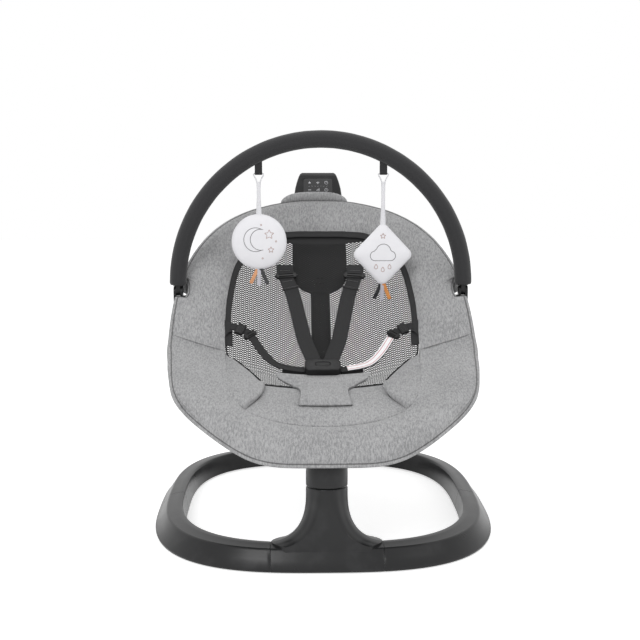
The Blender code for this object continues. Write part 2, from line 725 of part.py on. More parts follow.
def base_pieces(plastic, rubber, metal, board_green, copper):
    left_seam = 180.0 - SIDE_SEAM_ANGLE
    right_seam = 360.0 + SIDE_SEAM_ANGLE
    half_seam = seam_angle()
    rear = base_arc("base_arc_rear", right_seam - 360.0 + half_seam, left_seam - half_seam, 28, plastic)
    combine(rear, tongue(left_seam, 1, plastic), "UNION")
    combine(rear, tongue(right_seam - 360.0, -1, plastic), "UNION")
    base_arc("base_arc_left", left_seam + half_seam, cover_end(-1, SEAM_GAP / 2), 14, plastic)
    base_arc("base_arc_right", cover_end(1, SEAM_GAP / 2), right_seam - half_seam, 14, plastic)
    front_cover(plastic)
    foot_names = ("foot_rear_right", "foot_rear_left", "foot_front_left", "foot_front_right")
    for name, angle in zip(foot_names, FOOT_ANGLES):
        at = ring_point(angle, FOOT_INSET, (FOOT_HEIGHT - GAP) / 2)
        ahead = ring_point(angle + 1.0, FOOT_INSET, (FOOT_HEIGHT - GAP) / 2)
        heading = atan2(ahead.y - at.y, ahead.x - at.x)
        outline = rounded_rectangle(FOOT_LENGTH, FOOT_WIDTH, FOOT_WIDTH * 0.45, 3)
        placement = Matrix.Translation((at.x, at.y, 0)) @ Matrix.Rotation(heading, 4, "Z")
        loft(name, [[placement @ Vector((a, b, z)) for a, b in outline]
                    for z in (0.0, FOOT_HEIGHT - GAP)], rubber)
    plate = Matrix.Translation((0, service_y(), FOOT_HEIGHT + PLATE_THICKNESS / 2))
    block("base_bottom_plate", (SERVICE_WIDTH - 2 * GAP, SERVICE_DEPTH - 2 * GAP, PLATE_THICKNESS), plate,
          plastic)
    floor = FOOT_HEIGHT + PLATE_THICKNESS + GAP
    width, depth, thickness = BOARD_SIZE
    block("drive_board", BOARD_SIZE,
          Matrix.Translation((SERVICE_WIDTH / 2 - width / 2 - 0.002, service_y(), floor + thickness / 2)),
          board_green)
    turned("power_inlet", [(INLET_RADIUS, 0.0), (INLET_RADIUS, INLET_LENGTH)], 16, inlet_frame(), metal)
    for name, drop in (("upper_bearing", UPPER_BEARING_DROP), ("lower_bearing", LOWER_BEARING_DROP)):
        profile = [(SHAFT_RADIUS + GAP, -drop - BEARING_HEIGHT), (BORE_RADIUS - GAP, -drop - BEARING_HEIGHT),
                   (BORE_RADIUS - GAP, -drop), (SHAFT_RADIUS + GAP, -drop)]
        turned_ring(name, profile, 32, axis_frame(), metal)
    coil_profile = [(COIL_HOLE_RADIUS, -COIL_DROP - COIL_HEIGHT), (BORE_RADIUS - GAP, -COIL_DROP - COIL_HEIGHT),
                    (BORE_RADIUS - GAP, -COIL_DROP), (COIL_HOLE_RADIUS, -COIL_DROP)]
    turned_ring("drive_coil", coil_profile, 32, axis_frame(), copper)


# Collar, shaft and recline hinge

def recline_frame():
    """On the recline pin, X along it."""
    return axis_frame(RECLINE_HEIGHT)


def swivel_pieces(plastic, metal, magnet):
    edge = POST_EDGE
    profile = [(POST_RADIUS - edge, SEAM_GAP), (POST_RADIUS - edge * 0.3, SEAM_GAP + edge * 0.3),
               (POST_RADIUS, SEAM_GAP + edge), (POST_RADIUS, COLLAR_HEIGHT - 0.0015),
               (POST_RADIUS - 0.0015, COLLAR_HEIGHT)]
    collar = turned("swivel_collar", profile, 40, axis_frame(), plastic)
    slot_height = COLLAR_HEIGHT - SLOT_FLOOR + 0.01
    slot_length = 2 * POST_RADIUS
    slot_start = -KNUCKLE_RADIUS - 0.0045
    slot = block("slot", (2 * CHEEK_GAP_HALF, slot_length, slot_height), axis_frame()
                 @ Matrix.Translation((0, slot_start + slot_length / 2, SLOT_FLOOR + slot_height / 2)), plastic)
    combine(collar, slot, "DIFFERENCE")
    socket = turned("socket", [(SHAFT_RADIUS + GAP, -0.01), (SHAFT_RADIUS + GAP, SLOT_FLOOR + 0.01)], 32,
                    axis_frame(), plastic)
    combine(collar, socket, "DIFFERENCE")
    across = recline_frame() @ Matrix.Rotation(pi / 2, 4, "Y")
    half = sqrt(POST_RADIUS ** 2 - PIN_RADIUS ** 2)
    pin_hole = turned("pin_hole", [(PIN_RADIUS + GAP, -0.05), (PIN_RADIUS + GAP, 0.05)], 20, across, plastic)
    combine(collar, pin_hole, "DIFFERENCE")
    pin = turned("recline_pin", [(PIN_RADIUS, -half + 0.001), (PIN_RADIUS, half - 0.001)], 20, across, metal)
    shaft = turned("swing_shaft", [(SHAFT_RADIUS, SLOT_FLOOR - GAP - SHAFT_LENGTH),
                                   (SHAFT_RADIUS, SLOT_FLOOR - GAP)], 32, axis_frame(), metal)
    rotor_profile = [(SHAFT_RADIUS + GAP, -ROTOR_DROP - ROTOR_HEIGHT),
                     (BORE_RADIUS - 5 * GAP, -ROTOR_DROP - ROTOR_HEIGHT),
                     (BORE_RADIUS - 5 * GAP, -ROTOR_DROP), (SHAFT_RADIUS + GAP, -ROTOR_DROP)]
    rotor = turned_ring("magnet_rotor", rotor_profile, 32, axis_frame(), magnet)
    hang_on(empty("swing_axis", axis_frame()), [collar, pin, shaft, rotor])


# Arm, clamp, back plate and control pod

def arm_path():
    """From the recline hinge under the seat and up behind the net."""
    hinge = recline_frame().translation
    points = [hinge] + [hinge + Vector((0, back, up)) for back, up in ARM_RISE]
    for y in (0.045, 0.120, 0.200, 0.228):
        points.append(seat_point(0, y, -ARM_DEPTH))
    return smooth_through(points, 2)


def support_arm(finish):
    outline = rounded_rectangle(ARM_WIDTH, ARM_THICKNESS, 0.004, 1)
    arm = swept("support_arm", arm_path(), Vector((1, 0, 0)), outline, finish)
    across = recline_frame() @ Matrix.Rotation(pi / 2, 4, "Y")
    reach = CHEEK_GAP_HALF - GAP
    combine(arm, turned("knuckle", [(KNUCKLE_RADIUS, -reach), (KNUCKLE_RADIUS, reach)], 24, across, finish),
            "UNION")
    combine(arm, turned("pin_hole", [(PIN_RADIUS + GAP, -0.05), (PIN_RADIUS + GAP, 0.05)], 20, across,
                        finish), "DIFFERENCE")
    combine(arm, front_clamp(finish), "UNION")
    return combine(arm, tube_cutter(252.0, 288.0, finish), "DIFFERENCE")


def tube_point(angle):
    plan = rim_point(angle, TUBE_INSET)
    return hung_point(plan.x, plan.y, TUBE_DEPTH)


def tube_path(start, end):
    """Along the frame tube, with stations every TUBE_STATION degrees of the rim."""
    first = int(start // TUBE_STATION) + 1
    last = -int(-end // TUBE_STATION) - 1
    angles = [start, *(TUBE_STATION * k for k in range(first, last + 1)), end]
    return [tube_point(angle) for angle in angles]


def tube_cutter(start, end, finish):
    return ring_tube("tube_space", tube_path(start, end), TUBE_RADIUS + GAP, 20, finish)


def front_clamp(finish):
    """Bracket on the arm, over the collar, that holds the frame's front tube from below."""
    tube = tube_point(270.0)
    hinge = recline_frame().translation
    top = tube.z + TUBE_RADIUS / 4
    bottom = tube.z - TUBE_RADIUS - CLAMP_FLOOR
    front = tube.y - TUBE_RADIUS - CLAMP_FRONT_WALL
    keel = [(hinge.y + back, hinge.z + up) for back, up in CLAMP_KEEL]
    outline = [(front, bottom), (keel[0][0] - 0.0027, bottom), *keel, (hinge.y, top - 0.001),
               (front + 0.003, top), (front, top - 0.003)]
    half = ARM_WIDTH / 2 - 0.001
    return loft("front_clamp", [[Vector((x, y, z)) for y, z in outline] for x in (-half, half)], finish)


def back_plate(finish):
    """Broad plate on the arm behind the head, narrowing to the arm's width."""
    rows = [(BACK_PLATE_LOW_Y, ARM_WIDTH / 2)]
    steps = 5
    for k in range(1, steps + 1):
        share = k / steps
        y = BACK_PLATE_LOW_Y + (BACK_PLATE_FULL_Y - BACK_PLATE_LOW_Y) * share
        rows.append((y, ARM_WIDTH / 2 + (BACK_PLATE_HALF_WIDTH - ARM_WIDTH / 2) * share ** 0.5))
    rows.append((BACK_PLATE_TOP_Y, BACK_PLATE_HALF_WIDTH))
    lift = -ARM_DEPTH + ARM_THICKNESS / 2 + GAP
    sections = []
    for y, half in rows:
        low = seat_point(0, y, lift)
        high = seat_point(0, y, lift + BACK_PLATE_THICKNESS)
        sections.append([Vector((-half, low.y, low.z)), Vector((half, low.y, low.z)),
                         Vector((half - 0.001, high.y, high.z)), Vector((-half + 0.001, high.y, high.z))])
    return loft("back_plate", sections, finish)


def pod_frame():
    """On the control face: X right, Y up the face, Z out of it."""
    return (Matrix.Translation((0, POD_FACE_Y, POD_FACE_Z)) @ Matrix.Rotation(radians(POD_TILT), 4, "X"))


def pod_face_height():
    return (POD_TOP_Z - POD_FACE_Z) / sin(radians(POD_TILT))


def control_housing(finish):
    """Pod behind the head: a neck that takes the arm's end and a head with the control face."""
    arm = arm_path()
    start = arm[-3]
    along = (arm[-1] - arm[-2]).normalized()
    out = Vector((0, -along.z, along.y))
    neck_half = ARM_THICKNESS / 2
    rows = []
    for distance, half in ((0.0, ARM_WIDTH / 2 + 0.003), (0.018, ARM_WIDTH / 2 + 0.004)):
        middle = start + along * distance - out * 0.0030
        rows.append((middle, out, half, neck_half, neck_half))
    frame = pod_frame()
    face_up = (frame.to_3x3() @ Vector((0, 1, 0))).normalized()
    face_out = (frame.to_3x3() @ Vector((0, 0, 1))).normalized()
    height = pod_face_height()
    for share, half, thickness in ((-0.35, POD_MID_HALF_WIDTH * 0.93, POD_THICKNESS),
                                   (0.05, POD_MID_HALF_WIDTH, POD_THICKNESS),
                                   (0.60, (POD_MID_HALF_WIDTH + POD_TOP_HALF_WIDTH) / 2 + 0.001,
                                    POD_THICKNESS * 0.88),
                                   (0.92, POD_TOP_HALF_WIDTH + 0.0010, POD_TOP_THICKNESS + 0.002),
                                   (1.00, POD_TOP_HALF_WIDTH - 0.0020, POD_TOP_THICKNESS - 0.004)):
        face = frame.translation + face_up * (height * share)
        sink = 0.002 if share == 1.0 else 0.0
        middle = face - face_out * (thickness / 2 + sink)
        rows.append((middle, face_out, half, thickness / 2, thickness / 2))
    sections = []
    for middle, normal, half, front, rear in rows:
        outline = rounded_rectangle(2 * half, front + rear, min(front, rear) * 0.55, 2)
        sections.append([middle + Vector((a, 0, 0)) + normal * b for a, b in outline])
    housing = loft("control_housing", sections, finish)
    socket_outline = rounded_rectangle(ARM_WIDTH + 2 * GAP, ARM_THICKNESS + 2 * GAP, 0.004, 1)
    deep = [start - along * 0.02, arm[-1] + along * GAP]
    combine(housing, swept("socket", deep, Vector((1, 0, 0)), socket_outline, finish), "DIFFERENCE")
    pocket_depth = 0.0100
    pocket = block("pocket", (0.058, height * 0.66, 2 * pocket_depth),
                   frame @ Matrix.Translation((0, height * 0.42, 0)), finish)
    combine(housing, pocket, "DIFFERENCE")
    return combine(housing, tube_cutter(72.0, 108.0, finish), "DIFFERENCE")


def control_pieces(plastic, gloss, board_green, metal):
    housing = control_housing(plastic)
    frame = pod_frame()
    height = pod_face_height()
    middle = frame @ Matrix.Translation((0, height * 0.42, 0))
    outline = rounded_rectangle(0.058 - 2 * GAP, height * 0.66 - 2 * GAP, 0.0040, 2)
    panel = loft("control_panel", [[middle @ Vector((a, b, z)) for a, b in outline]
                                   for z in (-PANEL_THICKNESS, 0.0004)], gloss)
    board = block("panel_board", (0.052, height * 0.58, 0.0014),
                  middle @ Matrix.Translation((0, 0, -PANEL_THICKNESS - GAP - 0.0007)), board_green)
    speaker_top = -PANEL_THICKNESS - 2 * GAP - 0.0014
    speaker = turned("speaker", [(0.0090, speaker_top - 0.0062), (0.0135, speaker_top)], 24, middle, metal)
    return [housing, panel, board, speaker]


# Tubular frame, its joints and the toy bar mounts

def frame_pieces(metal, plastic):
    turn = atan2(GAP, SEAT_HALF_WIDTH) * 180 / pi
    right, left = JOINT_ANGLE, 180.0 - JOINT_ANGLE
    pieces = [ring_tube("seat_frame_rear", tube_path(right + turn, left - turn), TUBE_RADIUS, 10, metal),
              ring_tube("seat_frame_front", tube_path(left + turn, 360.0 + right - turn), TUBE_RADIUS, 10,
                        metal)]
    for name, centre in (("frame_joint_right", right), ("frame_joint_left", left)):
        joint = ring_tube(name, tube_path(centre - TUBE_STATION, centre + TUBE_STATION), JOINT_RADIUS, 16,
                          plastic)
        space = tube_cutter(centre - 2 * TUBE_STATION, centre + 2 * TUBE_STATION, plastic)
        pieces.append(combine(joint, space, "DIFFERENCE"))
    return pieces


def notch_inner():
    """Inner end of the notch in the padding, beside the toy bar's sleeve."""
    return BAR_RADIUS - SLEEVE_RADIUS - 0.0016


def toy_bar_mount(name, side, finish):
    """Clamp on the frame tube with two cheeks that hold the toy bar's tongue."""
    inner = BAR_RADIUS - BAR_TONGUE_HALF - GAP - MOUNT_CHEEK
    outer = BAR_RADIUS + BAR_TONGUE_HALF + GAP + MOUNT_CHEEK
    radius = BAR_TONGUE_RADIUS
    base_z = BAR_PIVOT_Z - BAR_TONGUE_RADIUS - MOUNT_BASE
    outline = [(BAR_Y - radius, base_z), (BAR_Y + radius, base_z)]
    for k in range(9):
        angle = pi * k / 8
        outline.append((BAR_Y + radius * cos(angle), BAR_PIVOT_Z + radius * sin(angle)))
    foot_x = notch_inner() + 0.0030
    xs = sorted((side * foot_x, side * outer))
    mount = loft(name, [[Vector((x, y, z)) for y, z in outline] for x in xs], finish)
    fork_half = BAR_TONGUE_HALF + GAP
    fork_low = BAR_PIVOT_Z - BAR_TONGUE_RADIUS - 2 * GAP
    fork = block("fork", (2 * fork_half, 0.05, 0.05),
                 Matrix.Translation((side * BAR_RADIUS, BAR_Y, fork_low + 0.025)), finish)
    combine(mount, fork, "DIFFERENCE")
    trim_width = inner - foot_x
    trim = block("trim", (trim_width, 0.06, 0.05),
                 Matrix.Translation((side * (inner - trim_width / 2), BAR_Y, fork_low + 0.025)), finish)
    combine(mount, trim, "DIFFERENCE")
    start, end = (6.0, 42.0) if side > 0 else (138.0, 174.0)
    return combine(mount, tube_cutter(start, end, finish), "DIFFERENCE")


# Padded cover

def skirt_depth(x, y):
    """The edge's turn-down, shorter along the lip and behind the head where the control pod stands."""
    if y < RIM_MID_Y:
        share = min(1.0, (RIM_MID_Y - y) / (RIM_MID_Y - LIP_Y))
        return SKIRT_DEPTH + (LIP_SKIRT_DEPTH - SKIRT_DEPTH) * share ** 2
    share = min(1.0, max(0.0, (abs(x) - POD_MID_HALF_WIDTH) / 0.06))
    return SKIRT_DEPTH * (0.25 + 0.75 * share)


def rim_pad_section(inner, outer, height, inner_gap):
    """Closed section of the rim pad from a sewn inner edge to the outline and round the frame tube."""
    across = outer - inner
    width = across.length
    direction = across / width
    loop = []
    steps = 7
    for k in range(steps + 1):
        share = k / steps
        at = inner + direction * (inner_gap + (width - inner_gap) * share)
        loop.append(seat_point(at.x, at.y, PAD_EDGE + height * crown(share)))
    hem = skirt_depth(outer.x, outer.y)
    for inset in (SKIRT_WIDTH * 0.12, SKIRT_WIDTH * 0.88):
        at = outer - direction * inset
        loop.append(hung_point(at.x, at.y, hem))
    for inset in (SKIRT_WIDTH, TUBE_INSET, TUBE_INSET + 0.015):
        at = outer - direction * inset
        loop.append(seat_point(at.x, at.y, -PAD_UNDER))
    at = inner + direction * inner_gap
    loop.append(seat_point(at.x, at.y, -PAD_UNDER * 0.65))
    return loop


def end_share(k, count, reach):
    """Rises from nearly flat at both sewn ends to full height."""
    distance = min(k, count - 1 - k) / reach
    return 1.0 if distance >= 1 else 0.15 + 0.85 * sqrt(1 - (1 - distance) ** 2)


def rim_pad(name, start, end, count, radius_of, height, finish):
    """Pad along the rim between two angles, its inner edge on a plan line."""
    gap = atan2(GAP, SEAT_HALF_WIDTH) * 180 / pi
    sections = []
    for k in range(count):
        angle = start + gap + (end - start - 2 * gap) * k / (count - 1)
        sections.append(rim_pad_section(plan_point(angle, radius_of), rim_point(angle),
                                        height * end_share(k, count, 2.0), GAP))
    return loft(name, sections, finish)


def quilt(name, left_line, right_line, height, finish, reach=2.0, steps=6):
    """Pad between two plan lines of equal length: crowned across, drawn in at both ends."""
    count = len(left_line)
    sections = []
    for k, (left, right) in enumerate(zip(left_line, right_line)):
        direction = (right - left).normalized()
        first = left + direction * GAP
        last = right - direction * GAP
        loop = []
        lift = height * end_share(k, count, reach)
        for j in range(steps + 1):
            at = first.lerp(last, j / steps)
            loop.append(seat_point(at.x, at.y, PAD_EDGE + lift * crown(j / steps)))
        for j in range(steps, -1, -3):
            at = first.lerp(last, j / steps)
            loop.append(seat_point(at.x, at.y, -PAD_UNDER * 0.8))
        sections.append(loop)
    return loft(name, sections, finish)


def thigh_lines(side, count):
    """Inner line, along the net and down the valley, and outer line, along the rim seam."""
    start_index = next(k for k, (x, y) in enumerate(OPENING_LINE) if y < RIM_SEAM[0][1] + 0.004)
    inner = [Vector((side * x, y)) for x, y in OPENING_LINE[start_index:]]
    valley = smooth_through([Vector((side * x, y)) for x, y in VALLEY], 4)
    inner += valley[1:]
    tip = Vector((side * (VALLEY[-1][0] + 0.006), VALLEY[-1][1] + 0.002))
    outer = [Vector((side * x, y)) for x, y in RIM_SEAM_LINE if y > tip.y]
    outer[0] = Vector((side * (RIM_SEAM[0][0] - 0.0005), RIM_SEAM[0][1] - 2 * GAP))
    outer = [p - Vector((side * 2 * GAP, 0)) for p in outer] + [tip]
    return spaced(inner, count), spaced(outer, count)


def cushion_half_width(y):
    """Of the front cushion, to the valley."""
    points = [Vector(p) for p in VALLEY]
    for a, b in zip(points, points[1:]):
        if y >= b.y:
            return a.x + (b.x - a.x) * (a.y - y) / (a.y - b.y)
    return points[-1].x


def cushion_front_y(x):
    """Of the rim seam in front of the cushion."""
    line = [p for p in RIM_SEAM_LINE if p[1] < -0.2]
    for (x0, y0), (x1, y1) in zip(line, line[1:]):
        if x1 <= abs(x) <= x0:
            return y0 + (y1 - y0) * (x0 - abs(x)) / (x0 - x1)
    return line[0][1]


def cushion_lift(x, y):
    """Top of the front cushion above the seat surface."""
    front = cushion_front_y(x)
    share = (OPENING_FRONT_Y - y) / (OPENING_FRONT_Y - front)
    across = 0.5 + 0.5 * x / cushion_half_width(y)
    return PAD_EDGE + CUSHION_CROWN * crown(min(1, max(0, share))) * crown(min(1, max(0, across)))


def front_cushion(finish):
    """Between the valleys, from the net's front edge to the rim seam."""
    columns = 12
    rows = 8
    sections = []
    for j in range(rows + 1):
        share = j / rows
        loop = []
        under = []
        for k in range(columns + 1):
            across = -1 + 2 * k / columns
            rear_y = OPENING_FRONT_Y - 2 * GAP
            x_front = across * (VALLEY[-1][0] - 0.001)
            front_y = cushion_front_y(x_front) + SEAM_MARGIN
            y = rear_y + (front_y - rear_y) * share
            x = across * (cushion_half_width(y) - 3 * GAP)
            loop.append(seat_point(x, y, cushion_lift(x, y)))
            if k % 4 == 0:
                under.append(seat_point(x, y, -PAD_UNDER * 0.8))
        sections.append(loop + under[::-1])
    return loft("cover_front_cushion", sections, finish)


def net_height(x, y, radius_share):
    return -NET_SAG * (1 - radius_share ** 2)


def net_panel(finish):
    """Stretched net in the opening; its weave is left to the finish."""
    count = 44
    rings = 6
    bm = bmesh.new()
    skins = []
    for lift in (-0.0008, -0.0008 - NET_THICKNESS):
        grid = []
        for r in range(1, rings + 1):
            share = r / rings
            row = []
            for k in range(count):
                angle = 360.0 * k / count
                rim = plan_point(angle, opening_radius, 3 * GAP)
                at = Vector((0, RIM_MID_Y)).lerp(rim, share)
                row.append(bm.verts.new(seat_point(at.x, at.y, lift + net_height(at.x, at.y, share))))
            grid.append(row)
        centre = bm.verts.new(seat_point(0, RIM_MID_Y, lift - NET_SAG))
        for k in range(count):
            bm.faces.new((centre, grid[0][k], grid[0][(k + 1) % count]))
        for inner, outer in zip(grid, grid[1:]):
            for k in range(count):
                j = (k + 1) % count
                bm.faces.new((inner[k], inner[j], outer[j], outer[k]))
        skins.append(grid[-1])
    for k in range(count):
        j = (k + 1) % count
        bm.faces.new((skins[0][k], skins[0][j], skins[1][j], skins[1][k]))
    return add_object("net_panel", bm, finish)


def net_binding(finish):
    """Tape round the upper edge of the net, broader at its ends where the side loops are sewn in."""
    line = [Vector((x, y)) for x, y in OPENING_LINE if y > RIM_SEAM[0][1] + 0.012]
    half = spaced(line, 17)
    path = [Vector((-p.x, p.y)) for p in half[:0:-1]] + half
    sections = []
    for k, at in enumerate(path):
        ahead = path[min(k + 1, len(path) - 1)] - path[max(k - 1, 0)]
        across = Vector((-ahead.y, ahead.x)).normalized()
        end = min(k, len(path) - 1 - k)
        width = BINDING_WIDTH * (1.4 if end < 3 else 1.0)
        edges = (at - across * SEAM_MARGIN, at - across * width)
        sections.append([seat_point(edge.x, edge.y, lift)
                         for edge, lift in ((edges[0], 0.0), (edges[1], 0.0), (edges[1], BINDING_THICKNESS),
                                            (edges[0], BINDING_THICKNESS))])
    return loft("net_binding", sections, finish)


def crotch_flap(finish):
    """Padded flap from the front cushion to the buckle, wide at its top edge."""
    rows = ((FLAP_TOP_Y, FLAP_TOP_HALF_WIDTH, 0.0), (FLAP_TOP_Y - 0.009, FLAP_TOP_HALF_WIDTH, 0.0),
            (FLAP_TOP_Y - 0.019, FLAP_TOP_HALF_WIDTH - 0.004, 0.7),
            (FLAP_TOP_Y - 0.031, FLAP_TOP_HALF_WIDTH - 0.014, 1.0),
            (FLAP_TOP_Y - 0.042, FLAP_NECK_HALF_WIDTH + 0.013, 1.0),
            (FLAP_TOP_Y - 0.058, FLAP_NECK_HALF_WIDTH + 0.003, 1.0),
            (FLAP_TOP_Y - 0.080, FLAP_NECK_HALF_WIDTH, 1.0),
            (FLAP_BOTTOM_Y + 0.015, FLAP_NECK_HALF_WIDTH, 1.0),
            (FLAP_BOTTOM_Y, FLAP_NECK_HALF_WIDTH + 0.002, 0.1))
    steps = 6
    sections = []
    for y, half, fullness in rows:
        loop = []
        under = []
        for j in range(steps + 1):
            x = half * (-1 + 2 * j / steps)
            base = cushion_lift(x, y) + 0.0007
            puff = (FLAP_THICKNESS - FLAP_EDGE_THICKNESS) * crown(0.06 + 0.88 * j / steps) * fullness
            loop.append(seat_point(x, y, base + FLAP_EDGE_THICKNESS + puff))
            under.append(seat_point(x, y, base))
        sections.append(loop + under[::-1])
    return loft("crotch_flap", sections, finish)


def head_pillow(finish):
    """Gathered roll on the rim behind the head."""
    count = 15
    sections = []
    for k in range(count):
        share = -1 + 2 * k / (count - 1)
        x = PILLOW_HALF_WIDTH * share
        angle = atan2(HEAD_Y - RIM_MID_Y, x) * 180 / pi
        plan = rim_point(angle)
        rise = PILLOW_HEIGHT * sqrt(max(0.0, 1 - share ** 2)) + 0.003
        thick = PILLOW_THICKNESS * (0.45 + 0.55 * sqrt(max(0.0, 1 - share ** 2)))
        base = Vector((plan.x, plan.y - 0.0030, seat_height(plan.x, plan.y) + 0.0012))
        loop = []
        for j in range(12):
            angle_j = 2 * pi * j / 12
            loop.append(base + Vector((0, thick / 2 * cos(angle_j), rise / 2 * (1 + sin(angle_j)))))
        sections.append(loop)
    return loft("head_pillow", sections, finish)


def cover_pieces(fabric, net, tape):
    back = rim_pad("cover_back_pad", 0.0, 180.0, 33, opening_radius, BACK_CROWN, fabric)
    lip = rim_pad("cover_front_rim", 180.0, 360.0, 33, rim_seam_radius, LIP_CROWN, fabric)
    for pad in (back, lip):
        for side in (-1, 1):
            clear_bar(pad, side, fabric)
    thighs = []
    for name, side in (("cover_thigh_pad_right", 1), ("cover_thigh_pad_left", -1)):
        inner, outer = thigh_lines(side, 12)
        thighs.append(quilt(name, inner, outer, THIGH_CROWN, fabric, 3.0))
    return [back, lip, *thighs, front_cushion(fabric), net_panel(net), net_binding(tape),
            crotch_flap(fabric), head_pillow(fabric)]


def clear_bar(pad, side, finish):
    """Notch in the rim's edge where the toy bar and its mount pass, as deep as they turn."""
    reach = SLEEVE_RADIUS + 0.0035
    outer = SEAT_HALF_WIDTH + 0.03
    points = [(outer, BAR_Y - reach), (outer, BAR_Y + reach)]
    for k in range(10):
        angle = pi / 2 - pi * k / 9
        points.append((notch_inner() + reach * 0.55 * (1 - cos(angle)), BAR_Y + reach * sin(angle)))
    sections = [[Vector((side * x, y, z)) for x, y in points]
                for z in (BAR_PIVOT_Z - 0.06, BAR_PIVOT_Z + 0.06)]
    return combine(pad, loft("notch", sections, finish), "DIFFERENCE")


# Harness

def seat_route(route, side, count, tail=()):
    """Stations of a strap, (point, normal) pairs at equal distances: over the seat, then through the tail."""
    line = [(seat_point(side * at.x, at.y, at.z), seat_normal(side * at.x, at.y))
            for at in smooth_through([Vector(p) for p in route], 4)]
    line += list(tail)
    points = smooth_through([point for point, normal in line], 2)
    normals = []
    for (p0, n0), (p1, n1) in zip(line, line[1:]):
        normals += [n0, (n0 + n1).normalized()]
    normals.append(line[-1][1])
    stations = []
    for point in spaced(points, count):
        nearest = min(range(len(points)), key=lambda k: (points[k] - point).length)
        stations.append((point, normals[nearest]))
    return stations


def station_frames(stations):
    """Across and out of the webbing at each station."""
    frames = []
    for k, (point, normal) in enumerate(stations):
        along = stations[min(k + 1, len(stations) - 1)][0] - stations[max(k - 1, 0)][0]
        across = normal.cross(along).normalized()
        frames.append((point, across, along.cross(across).normalized()))
    return frames


def web(name, stations, width, finish):
    """Flat webbing along its stations, which lie on its underside."""
    sections = []
    for point, across, out in station_frames(stations):
        half = across * (width / 2)
        sections.append([point - half, point + half, point + half + out * WEB_THICKNESS,
                         point - half + out * WEB_THICKNESS])
    return loft(name, sections, finish)


def web_sleeve(name, stations, first, last, width, grow, finish):
    """A plastic slider or clip round the webbing, from one of its stations to another."""
    play = 0.0006
    outer = []
    inner = []
    for point, across, out in station_frames(stations)[first:last + 1]:
        for rows, side_grow, up_grow in ((outer, grow[0], grow[1]), (inner, play, play)):
            half = across * (width / 2 + side_grow)
            low = point - out * up_grow
            high = point + out * (WEB_THICKNESS + up_grow)
            rows.append([low - half, low + half, high + half, high - half])
    return channel(name, outer, inner, finish)


def buckle_frame():
    return seat_frame(0, BUCKLE_Y, BUCKLE_LIFT)


def buckle_pieces(plastic):
    width, length, height = BUCKLE_SIZE
    frame = buckle_frame() @ Matrix.Translation((0, 0, height / 2))
    body = block("harness_buckle", BUCKLE_SIZE, frame, plastic, 0.003, 2)
    key_width, key_length, key_height = RELEASE_SIZE
    well = block("well", (key_width + 2 * GAP, key_length + 2 * GAP, 2 * (key_height + RELEASE_TRAVEL)),
                 frame @ Matrix.Translation((0, 0, height / 2)), plastic)
    combine(body, well, "DIFFERENCE")
    slot_height = WEB_THICKNESS + 2 * SLOT_PLAY
    for side in (-1, 1):
        at = frame @ Matrix.Translation((side * width / 2, -BUCKLE_SIZE[1] * 0.10, SLOT_LIFT))
        combine(body, block("waist_slot", (2 * SLOT_DEPTH + 0.003, WAIST_WEB_WIDTH + 2 * SLOT_PLAY,
                                           slot_height), at, plastic), "DIFFERENCE")
        at = frame @ Matrix.Translation((side * SHOULDER_SLOT_X, length / 2, SLOT_LIFT))
        combine(body, block("shoulder_slot", (SHOULDER_WEB_WIDTH + 2 * SLOT_PLAY,
                                              2 * SLOT_DEPTH + 0.004, slot_height), at, plastic),
                "DIFFERENCE")
    key = block("buckle_button", RELEASE_SIZE,
                frame @ Matrix.Translation((0, 0, height / 2 + 0.0006 - key_height / 2)), plastic, 0.001, 1)
    return body, key


def slot_tail(side, direction):
    """The last stretch of a strap, straight into its slot in the buckle."""
    frame = buckle_frame() @ Matrix.Translation((0, 0, BUCKLE_SIZE[2] / 2 + SLOT_LIFT - WEB_THICKNESS / 2))
    normal = (frame.to_3x3() @ Vector((0, 0, 1))).normalized()
    points = []
    for reach in (0.0060, 0.0010, -SLOT_DEPTH):
        if direction == "shoulder":
            local = Vector((side * SHOULDER_SLOT_X, BUCKLE_SIZE[1] / 2 + reach, 0))
        else:
            local = Vector((side * (BUCKLE_SIZE[0] / 2 + reach), -BUCKLE_SIZE[1] * 0.10, 0))
        points.append((frame @ local, normal))
    return points


def harness_pieces(webbing, plastic):
    pieces = []
    for word, side in (("right", 1), ("left", -1)):
        shoulder = seat_route(SHOULDER_ROUTE, side, 19, slot_tail(side, "shoulder"))
        waist = seat_route(WAIST_ROUTE, side, 14, slot_tail(side, "waist"))
        pieces.append(web("shoulder_strap_" + word, shoulder, SHOULDER_WEB_WIDTH, webbing))
        pieces.append(web("waist_strap_" + word, waist, WAIST_WEB_WIDTH, webbing))
        pieces.append(web_sleeve("shoulder_adjuster_" + word, shoulder, 2, 3, SHOULDER_WEB_WIDTH,
                                 (0.0045, 0.0022), plastic))
        pieces.append(web_sleeve("waist_clip_" + word, waist, 1, 4, WAIST_WEB_WIDTH, (0.0040, 0.0028),
                                 plastic))
    band = seat_route(BAND_ROUTE, 1, 9)
    pieces.append(web("crotch_strap", band, BAND_WIDTH, webbing))
    return pieces


# Toy bar and toys

def bar_arc(start, end, steps):
    """Along the bow, angles in radians from its right end."""
    angles = [start + (end - start) * k / steps for k in range(steps + 1)]
    return [Vector((BAR_RADIUS * cos(a), BAR_Y, BAR_CENTRE_Z + BAR_RADIUS * sin(a))) for a in angles]


